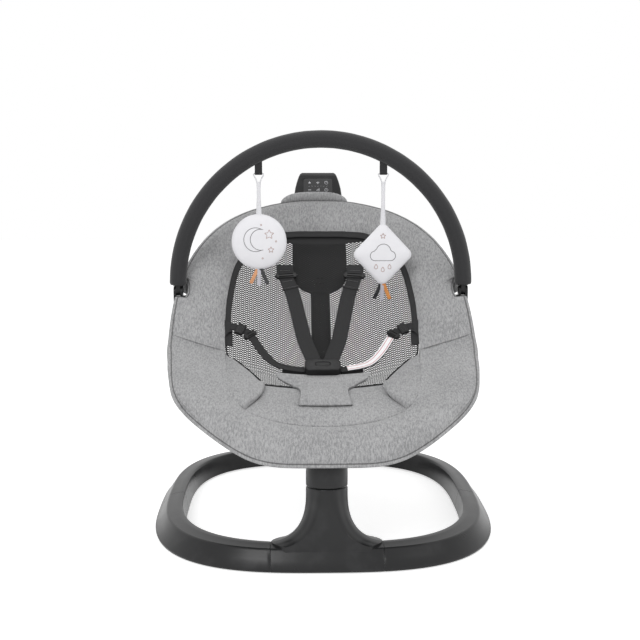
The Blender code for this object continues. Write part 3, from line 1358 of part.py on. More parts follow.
def toy_bar_pieces(rod_plastic, sleeve_fabric, tape):
    plug_angle = BAR_PLUG / BAR_RADIUS
    start = plug_angle + 3 * GAP / BAR_RADIUS
    rod = ring_tube("toy_bar_rod", bar_arc(start, pi - start, 32), ROD_RADIUS, 8, rod_plastic)
    sections_outer = []
    sections_inner = []
    for frame in path_frames(bar_arc(0.0, pi, 30), Vector((0, 1, 0))):
        sections_outer.append([frame @ Vector((a, b, 0)) for a, b in circle(SLEEVE_RADIUS, 14)])
        sections_inner.append([frame @ Vector((a, b, 0)) for a, b in circle(ROD_RADIUS + GAP * 3, 14)])
    sleeve = channel("toy_bar_sleeve", sections_outer, sections_inner, sleeve_fabric)
    pieces = [rod, sleeve]
    for word, side in (("right", 1), ("left", -1)):
        pieces.append(bar_end("toy_bar_end_" + word, side, rod_plastic))
        pieces.append(hanger_tab("hanger_tab_" + word, side, tape))
    return pieces


def bar_end(name, side, finish):
    """Plug in the sleeve's end with a flat tongue down to the pivot."""
    x = side * BAR_RADIUS
    path = [Vector((x, BAR_Y, BAR_PIVOT_Z + BAR_TONGUE_RADIUS + 3 * GAP))]
    path += [Vector((side * p.x, p.y, p.z)) for p in bar_arc(0.001, BAR_PLUG / BAR_RADIUS, 3)]
    end = ring_tube(name, path, ROD_RADIUS, 16, finish)
    half = BAR_TONGUE_HALF
    outline = [(BAR_Y - BAR_TONGUE_RADIUS + GAP, BAR_CENTRE_Z + 0.004),
               (BAR_Y - BAR_TONGUE_RADIUS + GAP, BAR_PIVOT_Z)]
    for k in range(1, 8):
        angle = pi + pi * k / 8
        outline.append((BAR_Y + (BAR_TONGUE_RADIUS - GAP) * cos(angle),
                        BAR_PIVOT_Z + (BAR_TONGUE_RADIUS - GAP) * sin(angle)))
    outline += [(BAR_Y + BAR_TONGUE_RADIUS - GAP, BAR_PIVOT_Z),
                (BAR_Y + BAR_TONGUE_RADIUS - GAP, BAR_CENTRE_Z + 0.004)]
    tongue_piece = loft("tongue", [[Vector((x + dx, y, z)) for y, z in outline] for dx in (-half, half)],
                        finish)
    return combine(end, tongue_piece, "UNION")


def bar_underside():
    """Height of the sleeve's underside where a toy hangs."""
    return BAR_CENTRE_Z + sqrt((BAR_RADIUS - SLEEVE_RADIUS) ** 2 - TOY_X ** 2)


def toy_pivot_z():
    return bar_underside() - TAB_DROP + TAB_THICKNESS + CORD_RADIUS + 0.0008


def hanger_tab(name, side, finish):
    """Folded tape loop under the bar; its slope follows the sleeve."""
    fold = 0.0036
    top = bar_underside() + 0.0
    slope = -TOY_X / sqrt((BAR_RADIUS - SLEEVE_RADIUS) ** 2 - TOY_X ** 2)
    bottom = bar_underside() - TAB_DROP + fold
    outer = []
    inner = []
    for k in range(9):
        angle = pi + pi * k / 8
        outer.append((BAR_Y + fold * cos(angle), bottom + fold * sin(angle)))
        inner.append((BAR_Y + (fold - TAB_THICKNESS) * cos(angle),
                      bottom + (fold - TAB_THICKNESS) * sin(angle)))
    rows = []
    for dx in (-TAB_WIDTH / 2, TAB_WIDTH / 2):
        edge = top + slope * dx - 2 * GAP - 0.0004
        loop = [(BAR_Y - fold, edge), *outer, (BAR_Y + fold, edge),
                (BAR_Y + fold - TAB_THICKNESS, edge), *inner[::-1], (BAR_Y - fold + TAB_THICKNESS, edge)]
        rows.append([Vector((side * (TOY_X + dx), y, z)) for y, z in loop])
    return loft(name, rows, finish)


def toy_cord(name, x, pad_top, finish):
    """White cord loop through the tab, drawn together at the pad's top edge."""
    top = toy_pivot_z()
    half = TAB_WIDTH / 2 + 0.0032
    corner = 0.0030
    low = pad_top + 0.0014
    right = [(half - corner, top), (half - corner * 0.3, top - corner * 0.3), (half, top - corner),
             (half * 0.80, top - 0.012), (half * 0.50, top - 0.024), (0.0042, low + 0.010), (0.0032, low)]
    outline = [Vector((x + a, BAR_Y, z)) for a, z in right]
    outline += [Vector((x - a, BAR_Y, z)) for a, z in right[::-1]]
    count = len(outline)
    sections = []
    for k, point in enumerate(outline):
        along = (outline[(k + 1) % count] - outline[k - 1]).normalized()
        out = along.cross(Vector((0, 1, 0)))
        sections.append([point + Vector((0, CORD_RADIUS * cos(a), 0)) + out * (CORD_RADIUS * sin(a))
                         for a in (2 * pi * j / 6 for j in range(6))])
    return loft(name, sections, finish, closed=True)


def toy_pad(name, outline, centre, ribbon_angles, finish):
    """Stuffed pad: its outline in x and z, thick in the middle, with three ribbons from its lower edge."""
    rings = ((1.0, 0.10), (0.97, 0.45), (0.85, 0.80), (0.60, 1.0))
    profile = [(scale, -TOY_THICKNESS / 2 * share) for scale, share in reversed(rings)]
    profile += [(scale, TOY_THICKNESS / 2 * share) for scale, share in rings]
    sections = [[centre + Vector((a * scale, dy, b * scale)) for a, b in outline] for scale, dy in profile]
    pad = loft(name, sections, finish)
    lowest = min(b for a, b in outline)
    root = centre + Vector((0, 0, lowest + 0.006))
    for angle in ribbon_angles:
        turn = Matrix.Translation(root) @ Matrix.Rotation(radians(angle), 4, "Y")
        strip = block("ribbon", (RIBBON_WIDTH, 0.0012, RIBBON_LENGTH + 0.006),
                      turn @ Matrix.Translation((0, 0, -(RIBBON_LENGTH + 0.006) / 2)), finish)
        combine(pad, strip, "UNION")
    return pad


def rounded_diamond(half_width, half_height, radius, steps=3):
    """Counter-clockwise diamond with rounded corners."""
    corners = [Vector((half_width, 0)), Vector((0, half_height)), Vector((-half_width, 0)),
               Vector((0, -half_height))]
    points = []
    for k, corner in enumerate(corners):
        before = (corners[k - 1] - corner).normalized()
        after = (corners[(k + 1) % 4] - corner).normalized()
        half_angle = acos(before.dot(after)) / 2
        inward = (before + after).normalized()
        centre = corner + inward * (radius / sin(half_angle))
        start = corner + before * (radius / tan(half_angle)) - centre
        sweep = pi - 2 * half_angle
        for j in range(steps + 1):
            turn = Matrix.Rotation(sweep * j / steps, 2)
            point = centre + turn @ start
            points.append((point.x, point.y))
    return points


def toy_pieces(white_fabric, white_cord):
    round_x = -TOY_X
    round_centre = Vector((round_x, BAR_Y, ROUND_PAD_Z))
    round_outline = circle(ROUND_PAD_RADIUS, 28)
    disc = toy_pad("toy_round_pad", round_outline, round_centre, (-24, 2, 26), white_fabric)
    disc_cord = toy_cord("toy_round_cord", round_x, ROUND_PAD_Z + ROUND_PAD_RADIUS, white_cord)
    diamond_x = TOY_X
    diamond_centre = Vector((diamond_x, BAR_Y, DIAMOND_Z))
    overshoot = 0.0045
    diamond_outline = rounded_diamond(DIAMOND_HALF_WIDTH + overshoot, DIAMOND_HALF_HEIGHT + overshoot,
                                      0.0105)
    diamond = toy_pad("toy_diamond_pad", diamond_outline, diamond_centre, (-22, 1, 24), white_fabric)
    tip = max(b for a, b in diamond_outline)
    diamond_cord = toy_cord("toy_diamond_cord", diamond_x, DIAMOND_Z + tip, white_cord)
    return [disc, disc_cord], [diamond, diamond_cord]


# The whole swing

def build():
    for old in list(bpy.data.objects):
        bpy.data.objects.remove(old)
    plastic = material("satin_dark_plastic", (0.045, 0.046, 0.048), 0.42)
    gloss = material("gloss_black_panel", (0.012, 0.012, 0.013), 0.18)
    rubber = material("black_rubber", (0.020, 0.020, 0.020), 0.80)
    steel = material("painted_steel", (0.030, 0.030, 0.032), 0.35, 0.6)
    bright = material("bright_steel", (0.55, 0.56, 0.58), 0.30, 1.0)
    magnet = material("ferrite_magnet", (0.060, 0.058, 0.056), 0.60)
    copper = material("copper_winding", (0.60, 0.27, 0.12), 0.35, 0.9)
    board_green = material("green_board", (0.02, 0.15, 0.06), 0.50)
    fabric = material("grey_melange_fabric", (0.31, 0.31, 0.31), 0.90)
    net = material("black_net", (0.020, 0.020, 0.021), 0.70)
    tape = material("black_webbing", (0.018, 0.018, 0.019), 0.75)
    sleeve_fabric = material("black_sleeve_fabric", (0.032, 0.032, 0.033), 0.85)
    white_fabric = material("white_toy_fabric", (0.85, 0.85, 0.88), 0.85)
    white_cord = material("white_cord", (0.88, 0.88, 0.88), 0.70)

    base_pieces(plastic, rubber, bright, board_green, copper)
    swivel_pieces(plastic, bright, magnet)

    seat = [support_arm(plastic), back_plate(plastic)]
    seat += control_pieces(plastic, gloss, board_green, bright)
    seat += frame_pieces(steel, plastic)
    for name, side in (("toy_bar_mount_right", 1), ("toy_bar_mount_left", -1)):
        seat.append(toy_bar_mount(name, side, plastic))
    seat += cover_pieces(fabric, net, tape)
    seat += harness_pieces(tape, plastic)
    body, key = buckle_pieces(plastic)
    hang_on(empty("recline_axis", recline_frame()), seat + [body])
    hang_on(empty("buckle_press", buckle_frame()), [key])

    bar = toy_bar_pieces(plastic, sleeve_fabric, tape)
    hang_on(empty("toy_bar_axis", Matrix.Translation((0, BAR_Y, BAR_PIVOT_Z))), bar)
    round_toy, diamond_toy = toy_pieces(white_fabric, white_cord)
    hang_on(empty("toy_round_axis", Matrix.Translation((-TOY_X, BAR_Y, toy_pivot_z()))), round_toy)
    hang_on(empty("toy_diamond_axis", Matrix.Translation((TOY_X, BAR_Y, toy_pivot_z()))), diamond_toy)


build()
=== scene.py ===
"""Electric baby swing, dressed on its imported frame: the moulded floor ring with its post, the grey padded
cover, the see-through net, the harness, the toy bar with two toys, and a plain pale studio.

Metres, +Z up, the front of the swing faces -Y, as in the frame.
"""

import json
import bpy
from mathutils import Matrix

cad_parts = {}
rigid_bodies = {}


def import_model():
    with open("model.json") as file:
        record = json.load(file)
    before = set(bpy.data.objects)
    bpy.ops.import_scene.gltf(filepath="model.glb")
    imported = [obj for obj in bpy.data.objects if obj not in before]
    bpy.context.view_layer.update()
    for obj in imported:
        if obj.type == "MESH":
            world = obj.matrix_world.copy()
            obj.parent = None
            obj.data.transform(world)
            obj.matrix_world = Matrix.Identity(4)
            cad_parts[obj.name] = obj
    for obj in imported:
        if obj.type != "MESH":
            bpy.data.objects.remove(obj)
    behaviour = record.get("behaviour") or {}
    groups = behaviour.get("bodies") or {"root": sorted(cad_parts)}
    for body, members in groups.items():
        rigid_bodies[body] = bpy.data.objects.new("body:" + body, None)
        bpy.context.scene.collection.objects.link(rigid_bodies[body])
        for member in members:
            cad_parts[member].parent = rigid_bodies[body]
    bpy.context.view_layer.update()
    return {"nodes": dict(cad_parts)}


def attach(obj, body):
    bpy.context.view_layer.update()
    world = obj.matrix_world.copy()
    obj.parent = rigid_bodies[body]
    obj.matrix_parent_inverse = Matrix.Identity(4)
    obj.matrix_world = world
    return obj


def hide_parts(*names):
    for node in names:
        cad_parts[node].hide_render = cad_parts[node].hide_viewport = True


bl_info = {
    "name": "Electric Baby Swing",
    "version": (1, 0, 0),
    "blender": (4, 5, 0),
    "location": "3D View > Sidebar > Baby Swing",
    "description": "Builds the visible pieces, finishes and studio of a side-to-side baby swing",
    "category": "Object",
}

from contextlib import contextmanager
from functools import reduce
from math import atan2, cos, hypot, pi, radians, sin, sqrt, tan

import bmesh
import bpy
from bpy.props import FloatProperty, FloatVectorProperty, PointerProperty
from mathutils import Matrix, Vector, noise

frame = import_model()
SIDES = ((1, "right"), (-1, "left"))

# Floor ring and post
RING_WIDTH = 0.580
RING_DEPTH = 0.676
RING_SQUARENESS = 2.89
RING_BAND = 0.052
RING_HEIGHT = 0.0315
RING_SLOPE = 0.018
RING_TOP_WIDTH = 0.029
RING_TOP_RISE = 0.005
FOOT_HEIGHT = 0.0022
SIDE_SEAM_ANGLE = -4.4
COVER_HALF_WIDTH = 0.0870
POST_Y = -0.285
SEAM_Z = 0.1237
AXIS_LEAN = 5.0
POST_RADIUS = 0.0322
FLARE_TOP = 0.115
FLARE_REACH = 0.068
FLARE_REAR_REACH = 0.010
FLARE_SHAPE = 2.5
BORE_RADIUS = 0.0275
BORE_DEPTH = 0.078
COLLAR_HEIGHT = 0.034
RUNNING_GAP = 0.0001    # of the post's top and of the collar's underside to the seam between them
CHEEK_GAP_HALF = 0.0200
SLOT_FLOOR = 0.0135
SHAFT_SOCKET_RADIUS = 0.0125
RECLINE_HEIGHT = 0.0255
KNUCKLE_RADIUS = 0.0095
PIN_HOLE_RADIUS = 0.0043

# Seat surface
SEAT_HALF_WIDTH = 0.2655
HEAD_Y = 0.270
HEAD_Z = 0.5376
RIM_MID_Y = -0.030
LIP_Y = -0.335
REAR_ROUNDNESS = 2.2
FRONT_ROUNDNESS = 2.8
BACK_ANGLE = 42.6
CUSHION_Z = 0.240
CUSHION_Y = -0.100
CUSHION_ANGLE = 9.6
FOLD_SOFTNESS = 0.010
LIP_START = -0.220
LIP_DROP = 0.034
BOWL_RISE = 0.05287
OPENING_HALF_WIDTH = 0.170
OPENING_REAR_Y = 0.208
OPENING_FRONT_Y = -0.115
OPENING_FRONT_HALF_WIDTH = 0.100
NET_SAG = 0.010
NET_DENSE_Y = 0.186
SKIRT_DEPTH = 0.026
LIP_SKIRT_DEPTH = 0.0055
PAD_UNDER = 0.0050
OPENING_SHAPE = ((0.0, 1.0), (0.30, 0.988), (0.588, 0.93), (0.885, 0.705), (0.985, 0.43), (1.0, 0.14))
BOLSTER_SHAPE = ((0.06, 0.33), (0.34, 0.42), (0.63, 0.60), (0.84, 0.80), (1.0, 1.0))
RIM_SEAM = ((0.1690, -0.0300), (0.1665, -0.0950), (0.1560, -0.1750), (0.1385, -0.2330),
            (0.0930, -0.2600), (0.0440, -0.2690), (0.0, -0.2710))
VALLEY = ((0.1000, -0.1150), (0.1065, -0.1700), (0.1310, -0.2340))
HEMS = ((0.0004, 0.66), (0.0010, 0.88), (0.0022, 0.99), (0.0068, 1.0), (0.0079, 0.90))
NOTCH_FACING = ((0.2535, 0.0842), (0.2490, 0.0832), (0.2440, 0.0826), (0.2385, 0.0822))
FACING_SECTION = ((0, 0), (0.0016, 0), (0.0022, -0.016), (0.0016, -0.032), (0, -0.032), (0.0008, -0.016))
BINDING_SECTION = ((0.0, 0.0), (0.02, 0.0012), (0.12, 0.0018), (0.30, 0.0016), (0.5, 0.0017),
                   (0.70, 0.0016), (0.88, 0.0018), (0.98, 0.0012), (1.0, 0.0), (0.5, -0.0001))
FLAP_ROWS = ((-0.0660, 0.0800, 0.0), (-0.0750, 0.0800, 0.1), (-0.0850, 0.0760, 0.7), (-0.0970, 0.0660, 1.0),
             (-0.1080, 0.0560, 1.0), (-0.1240, 0.0450, 1.0), (-0.1440, 0.0400, 1.0), (-0.1720, 0.0395, 1.0),
             (-0.2040, 0.0420, 0.9), (-0.2150, 0.0425, 0.1))
FLAP_HEM = 0.0068
HEAD_ROLL_REACH = 0.066
HEAD_ROLL_SHIFT = 0.009    # to the left

# Frame, arm and control pod
TUBE_RADIUS = 0.008
TUBE_INSET = 0.021
TUBE_DEPTH = 0.0170
TUBE_PLAY = 0.0003
JOINT_ANGLE = -18.0
ARM_WIDTH = 0.035
ARM_THICKNESS = 0.016
ARM_DEPTH = 0.031
ARM_RISE = ((0.0478, 0.0069), (0.1328, 0.0299), (0.2178, 0.0619), (0.2778, 0.1009))
CLAMP_KEEL = ((-0.0097, 0.0074), (0.0428, 0.0099), (0.0628, 0.0129), (0.0628, 0.0209))
BACK_PLATE_HALF_WIDTH = 0.051
BACK_PLATE_ROWS = ((0.108, 0.0175), (0.112, 0.031), (0.122, 0.043), (0.142, 0.051), (0.206, 0.051))
POD_TILT = 65.0
POD_FACE_Y = 0.2905
POD_FACE_Z = 0.543
POD_TOP_Z = 0.592
POD_TOP_HALF_WIDTH = 0.0355
POD_MID_HALF_WIDTH = 0.0435
POD_THICKNESS = 0.021
POD_ROWS = ((-0.35, POD_MID_HALF_WIDTH * 0.98, 1.0), (-0.10, POD_MID_HALF_WIDTH * 1.055, 1.0),
            (0.15, POD_MID_HALF_WIDTH * 1.075, 1.0), (0.40, POD_MID_HALF_WIDTH * 1.035, 0.95),
            (0.65, POD_TOP_HALF_WIDTH + 0.0062, 0.88), (0.85, POD_TOP_HALF_WIDTH + 0.0026, 0.78),
            (0.93, POD_TOP_HALF_WIDTH + 0.0006, 0.70), (0.975, POD_TOP_HALF_WIDTH - 0.0006, 0.58),
            (1.00, POD_TOP_HALF_WIDTH - 0.0032, 0.36))
PANEL_WIDTH = 0.0574
PANEL_THICKNESS = 0.0014
PANEL_SHARE = 0.66    # of the face's height
PANEL_MIDDLE = 0.42    # of the face's height
MARK_THICKNESS = 0.0002

# Toy bar and toys
BAR_Y = 0.060
BAR_RADIUS = 0.255
BAR_CENTRE_Z = 0.397
SLEEVE_RADIUS = 0.0152
SLEEVE_BORE = 0.0101
TOY_X = 0.110
TAB_WIDTH = 0.013
TAB_DROP = 0.020
CORD_RADIUS = 0.0010
ROUND_PAD_RADIUS = 0.048
ROUND_PAD_Z = 0.473
DIAMOND_HALF_WIDTH = 0.0545
DIAMOND_HALF_HEIGHT = 0.0575
DIAMOND_CORNER = 0.0105
DIAMOND_Z = 0.450
TOY_THICKNESS = 0.014
PRINTED_LINE_RADIUS = 0.0005
RIBBON_LENGTH = 0.036
RIBBON_WIDTH = 0.0065

# Harness
WEB_THICKNESS = 0.0016
SHOULDER_WEB_WIDTH = 0.027
SHOULDER_PAD_WIDTH = 0.031
WAIST_WEB_WIDTH = 0.015
BAND_WIDTH = 0.019
BUCKLE_Y = -0.052
BUCKLE_SIZE = (0.062, 0.034, 0.014)
BUCKLE_LIFT = 0.0049
BUCKLE_CORNER = 0.0095
KEY_SIZE = (0.0260, 0.0130, 0.0045)
KEY_CORNER = 0.0060
KEY_PLAY = 0.0006
WELL_DEPTH = 0.0070
SLOT_LIFT = -0.0015
SLOT_DEPTH = 0.0060
SHOULDER_SLOT_X = 0.0150
WAIST_SLOT_Y = -0.0034
SHOULDER_ROUTE = ((0.0655, 0.1440, -0.0040), (0.0650, 0.1300, 0.0020), (0.0610, 0.1100, 0.0050),
                  (0.0515, 0.0880, 0.0050), (0.0430, 0.0570, 0.0050), (0.0310, 0.0100, 0.0055),
                  (0.0220, -0.0130, 0.0062))
WAIST_ROUTE = ((0.1600, 0.0145, 0.0055), (0.1440, 0.0125, 0.0055), (0.1260, 0.0062, 0.0050),
               (0.1040, -0.0210, 0.0055), (0.0820, -0.0430, 0.0065), (0.0600, -0.0530, 0.0085))
SLIDER_AT = 10    # stations along the shoulder web
KEEPER_AT = 19
STITCHES_AT = (6, 14)
CLIP_AT = 5    # stations along the waist web
ADJUSTER_AT = 11
STRIPED_AT = slice(14, 48)
BAND_ROUTE = ((-0.0700, -0.0560, 0.0016), (-0.0350, -0.0560, 0.0016), (0.0, -0.0560, 0.0016),
              (0.0350, -0.0560, 0.0016), (0.0700, -0.0560, 0.0016))

# Studio
CAMERA_LENS = 63.8
CAMERA_SHIFT = (-0.003, 51 / 640)
CAMERA_TARGET = (0, 0, 0.25)
FLOOR_GLOW = 0.62


# Sizes and colours that a user may change

def length_property(name, description, default, soft_max=0.1):
    return FloatProperty(name=name, description=description, default=default, min=0.0, soft_max=soft_max,
                         subtype="DISTANCE", unit="LENGTH", precision=4)


def colour_property(name, description, default):
    return FloatVectorProperty(name=name, description=description, default=default, size=3, min=0.0,
                               max=1.0, subtype="COLOR")


class SwingPadding(bpy.types.PropertyGroup):
    """How full the padded cover is, and how it is sewn"""

    back_crown: length_property("Back Fullness", "Height of the back pad over its seams", 0.0125)
    rim_crown: length_property("Side Fullness", "Height of the side bolsters over the seat surface", 0.0115)
    cushion_crown: length_property("Cushion Fullness", "Height of the front cushion", 0.0110)
    wrinkle: length_property("Wrinkles", "Depth of the soft unevenness of the cover", 0.0012)
    pucker: length_property("Puckers", "Depth of the gathers beside the edge seam", 0.0005)
    piping_radius: length_property("Piping", "Radius of the piping round the cover", 0.0011)


class SwingMouldings(bpy.types.PropertyGroup):
    """Edges and joint lines of the plastic mouldings"""

    seam_gap: length_property("Joint Line", "Gap between two mouldings of the floor ring", 0.0001, 0.005)
    edge: length_property("Edge Rounding", "Rounding of the post's and collar's edges", 0.0026, 0.01)
    key_edge: length_property("Fitting Rounding", "Rounding of buckles, clips and sliders", 0.0013, 0.01)


class SwingCloth(bpy.types.PropertyGroup):
    """Scale of the weaves"""

    melange_streak: length_property("Melange Streak", "Width of a pale streak in the grey cloth", 0.0014)
    net_pitch: length_property("Net Pitch", "Distance between the holes of a row in the net", 0.0074)
    net_row: length_property("Net Row", "Distance between two rows of holes in the net", 0.0024)
    rib_pitch: length_property("Webbing Rib", "Distance between two ribs of the webbing", 0.0012)
    stitch: length_property("Stitch", "Length of a stitch and its gap in the seams", 0.0034)


class SwingColours(bpy.types.PropertyGroup):
    """Colours of the finishes"""

    plastic: colour_property("Base Plastic", "Dark satin plastic of the floor ring and post",
                             (0.0130, 0.0132, 0.0138))
    fitting: colour_property("Fittings", "Black plastic of the buckle, clips and toy bar",
                             (0.0070, 0.0070, 0.0074))
    melange_light: colour_property("Melange Light", "Pale threads of the grey cover", (0.430, 0.430, 0.434))
    melange_dark: colour_property("Melange Dark", "Dark threads of the grey cover", (0.231, 0.232, 0.236))
    net: colour_property("Net", "Threads of the net", (0.012, 0.012, 0.0125))
    webbing: colour_property("Webbing", "Black harness webbing", (0.0140, 0.0140, 0.0146))
    sleeve: colour_property("Sleeve", "Cloth of the toy bar's sleeve", (0.0330, 0.0330, 0.0345))
    toy_cloth: colour_property("Toy Cloth", "White cloth of the toys", (0.900, 0.895, 0.920))
    stripe: colour_property("Stripe", "Coloured lines on the white webbing", (0.46, 0.045, 0.065))


class SwingStudio(bpy.types.PropertyGroup):
    """Camera and light"""

    distance: length_property("Camera Distance", "From the camera to the middle of the swing", 2.0, 10.0)
    elevation: FloatProperty(name="Camera Height Angle", description="How far the camera looks down",
                             default=radians(10.5), subtype="ANGLE", unit="ROTATION")
    azimuth: FloatProperty(name="Camera Side Angle", description="How far the camera stands to the left",
                           default=radians(-1.5), subtype="ANGLE", unit="ROTATION")
    key_power: FloatProperty(name="Key Light", description="Power of the large soft light in front",
                             default=26.0, min=0.0, subtype="POWER", unit="POWER")
    room_light: FloatProperty(name="Room Light", description="Strength of the even light all round",
                              default=0.62, min=0.0)


GROUPS = {"swing_padding": SwingPadding, "swing_mouldings": SwingMouldings, "swing_cloth": SwingCloth,
          "swing_colours": SwingColours, "swing_studio": SwingStudio}


def settings(group):
    return getattr(bpy.context.scene, group)


# Lines and the seat surface

def smooth_through(points, steps):
    """Points on a smooth curve through the given ones, steps to each span."""
    vectors = [Vector(p) for p in points]
    ends = [2 * vectors[0] - vectors[1]] + vectors + [2 * vectors[-1] - vectors[-2]]
    curve = []
    for a, b, c, d in zip(ends, ends[1:], ends[2:], ends[3:]):
        for k in range(steps):
            t = k / steps
            curve.append(0.5 * (2 * b + (c - a) * t + (2 * a - 5 * b + 4 * c - d) * t ** 2
                                + (3 * b - a - 3 * c + d) * t ** 3))
    return curve + [vectors[-1]]


def running_lengths(points):
    lengths = [0.0]
    for a, b in zip(points, points[1:]):
        lengths.append(lengths[-1] + (b - a).length)
    return lengths


def spaced(points, count):
    """The same line with count points at equal distances."""
    lengths = running_lengths(points)
    result = []
    index = 0
    for k in range(count):
        target = lengths[-1] * k / (count - 1)
        while index < len(points) - 2 and lengths[index + 1] < target:
            index += 1
        span = max(lengths[index + 1] - lengths[index], 1e-9)
        result.append(points[index].lerp(points[index + 1], (target - lengths[index]) / span))
    return result


def smoothstep(low, high, value):
    t = min(1.0, max(0.0, (value - low) / (high - low)))
    return t * t * (3 - 2 * t)


def circle(radius, sides):
    return [(radius * cos(2 * pi * k / sides), radius * sin(2 * pi * k / sides)) for k in range(sides)]


def rounded_rectangle(width, height, radius, steps=4):
    points = []
    for quarter, (a, b) in enumerate(((1, 1), (-1, 1), (-1, -1), (1, -1))):
        for k in range(steps + 1):
            angle = pi / 2 * (quarter + k / steps)
            points.append((a * (width / 2 - radius) + radius * cos(angle),
                           b * (height / 2 - radius) + radius * sin(angle)))
    return points


def arc(a, b, radius, start, end, steps=28):
    """Points on an arc about (a, b); angles in degrees."""
    angles = [radians(start + (end - start) * k / steps) for k in range(steps + 1)]
    return [(a + radius * cos(angle), b + radius * sin(angle)) for angle in angles]


def frame_of(x, y, z, at):
    """The matrix with these axes and this origin."""
    return Matrix(((*x, 0), (*y, 0), (*z, 0), (*at, 1))).transposed()


def moved(x, y, z):
    return Matrix.Translation((x, y, z))


def lerp(a, b, share):
    return a + (b - a) * share


def seat_height(x, y):
    back = HEAD_Z - tan(radians(BACK_ANGLE)) * (HEAD_Y - y)
    cushion = CUSHION_Z + tan(radians(CUSHION_ANGLE)) * (y - CUSHION_Y)
    height = (back + cushion) / 2 + hypot((back - cushion) / 2, FOLD_SOFTNESS)
    if y < LIP_START:
        height -= LIP_DROP * ((LIP_START - y) / (LIP_START - LIP_Y)) ** 3
    return height + BOWL_RISE * (x / SEAT_HALF_WIDTH) ** 2


def seat_normal(x, y):
    step = 0.001
    slope_x = (seat_height(x + step, y) - seat_height(x - step, y)) / (2 * step)
    slope_y = (seat_height(x, y + step) - seat_height(x, y - step)) / (2 * step)
    return Vector((-slope_x, -slope_y, 1.0)).normalized()


def seat_point(x, y, lift=0.0):
    return Vector((x, y, seat_height(x, y))) + seat_normal(x, y) * lift


def hung_point(x, y, depth):
    """Below the seat surface, square to its slope along the seat but not moved sideways."""
    normal = seat_normal(x, y)
    down = Vector((0, -normal.y, -normal.z)).normalized()
    return Vector((x, y, seat_height(x, y))) + down * depth


def seat_frame(x, y, lift):
    """A frame on the seat: X to the right, Y up the slope, Z out of the padding."""
    normal = seat_normal(x, y)
    right = (Vector((1, 0, 0)) - normal.x * normal).normalized()
    return frame_of(right, normal.cross(right), normal, seat_point(x, y, lift))


def rim_point(angle, inset=0.0):
    """The seat's outline in plan; angle in degrees from +X about the middle of the rim."""
    a = cos(radians(angle))
    b = sin(radians(angle))
    half_width = SEAT_HALF_WIDTH - inset
    if b >= 0:
        length, roundness = HEAD_Y - RIM_MID_Y - inset, REAR_ROUNDNESS
    else:
        length, roundness = RIM_MID_Y - LIP_Y - inset, FRONT_ROUNDNESS
    radius = ((abs(a) / half_width) ** roundness + (abs(b) / length) ** roundness) ** (-1 / roundness)
    return Vector((radius * a, RIM_MID_Y + radius * b))


def opening_half():
    """Right half of the net's outline in plan, from the head round the side to the front middle."""
    reach = OPENING_REAR_Y - RIM_MID_Y
    points = [(sx * OPENING_HALF_WIDTH, RIM_MID_Y + sy * reach) for sx, sy in OPENING_SHAPE]
    side_y = points[-1][1]
    for inward, down in BOLSTER_SHAPE:
        points.append((OPENING_HALF_WIDTH + (OPENING_FRONT_HALF_WIDTH - OPENING_HALF_WIDTH) * inward,
                       side_y + (OPENING_FRONT_Y - side_y) * down))
    return points


OPENING_LINE = smooth_through([Vector(p) for p in opening_half()], 12)
RIM_SEAM_LINE = smooth_through([Vector(p) for p in RIM_SEAM], 12)


def polar_radius(points, angle):
    """Distance from the middle of the rim to a line of points, along an angle from -90 to 90."""
    polar = sorted((atan2(p.y - RIM_MID_Y, p.x), hypot(p.x, p.y - RIM_MID_Y)) for p in points)
    target = radians(angle)
    if target <= polar[0][0]:
        return polar[0][1]
    for (a0, r0), (a1, r1) in zip(polar, polar[1:]):
        if target <= a1:
            return r0 + (r1 - r0) * (target - a0) / (a1 - a0)
    return polar[-1][1]


def plan_point(angle, radius_of, inset=0.0):
    """A point of a mirrored plan line at an angle about the middle of the rim."""
    turned_angle = (angle + 180.0) % 360.0 - 180.0
    side = 1
    if abs(turned_angle) > 90.0:
        turned_angle = 180.0 - turned_angle if turned_angle > 0 else -180.0 - turned_angle
        side = -1
    radius = radius_of(turned_angle) - inset
    return Vector((side * radius * cos(radians(turned_angle)),
                   RIM_MID_Y + radius * sin(radians(turned_angle))))


def opening_radius(angle):
    """Of the net; in front of its corners the edge runs straight across."""
    corner = atan2(OPENING_FRONT_Y - RIM_MID_Y, OPENING_FRONT_HALF_WIDTH)
    if radians(angle) < corner:
        return (OPENING_FRONT_Y - RIM_MID_Y) / sin(radians(angle))
    return polar_radius(OPENING_LINE, angle)


def rim_seam_radius(angle):
    return polar_radius(RIM_SEAM_LINE, angle)


# Tools of the bench

def deselect():
    for obj in bpy.context.view_layer.objects:
        obj.select_set(False)


def focus(obj):
    deselect()
    obj.select_set(True)
    bpy.context.view_layer.objects.active = obj


@contextmanager
def editing(obj):
    focus(obj)
    bpy.ops.object.mode_set(mode="EDIT")
    bpy.ops.mesh.select_all(action="DESELECT")
    yield obj
    bpy.ops.object.mode_set(mode="OBJECT")


def pick(obj, kind, test):
    """In edit mode, select only the faces or edges that pass the test."""
    bpy.ops.mesh.select_mode(type=kind)
    bpy.ops.mesh.select_all(action="DESELECT")
    mesh = bmesh.from_edit_mesh(obj.data)
    for part in mesh.faces if kind == "FACE" else mesh.edges:
        part.select_set(test(part))
    bmesh.update_edit_mesh(obj.data)


def pick_edges(obj, upright):
    """Select the edges that stand along Z, or else those that lie level."""
    pick(obj, "EDGE", lambda edge: (abs(edge.verts[0].co.z - edge.verts[1].co.z) > 1e-4) == upright)


def named(name):
    made = bpy.context.object
    made.name = name
    made.data.name = name
    return made


def new_object(name, data):
    made = bpy.data.objects.new(name, data)
    bpy.context.scene.collection.objects.link(made)
    return made


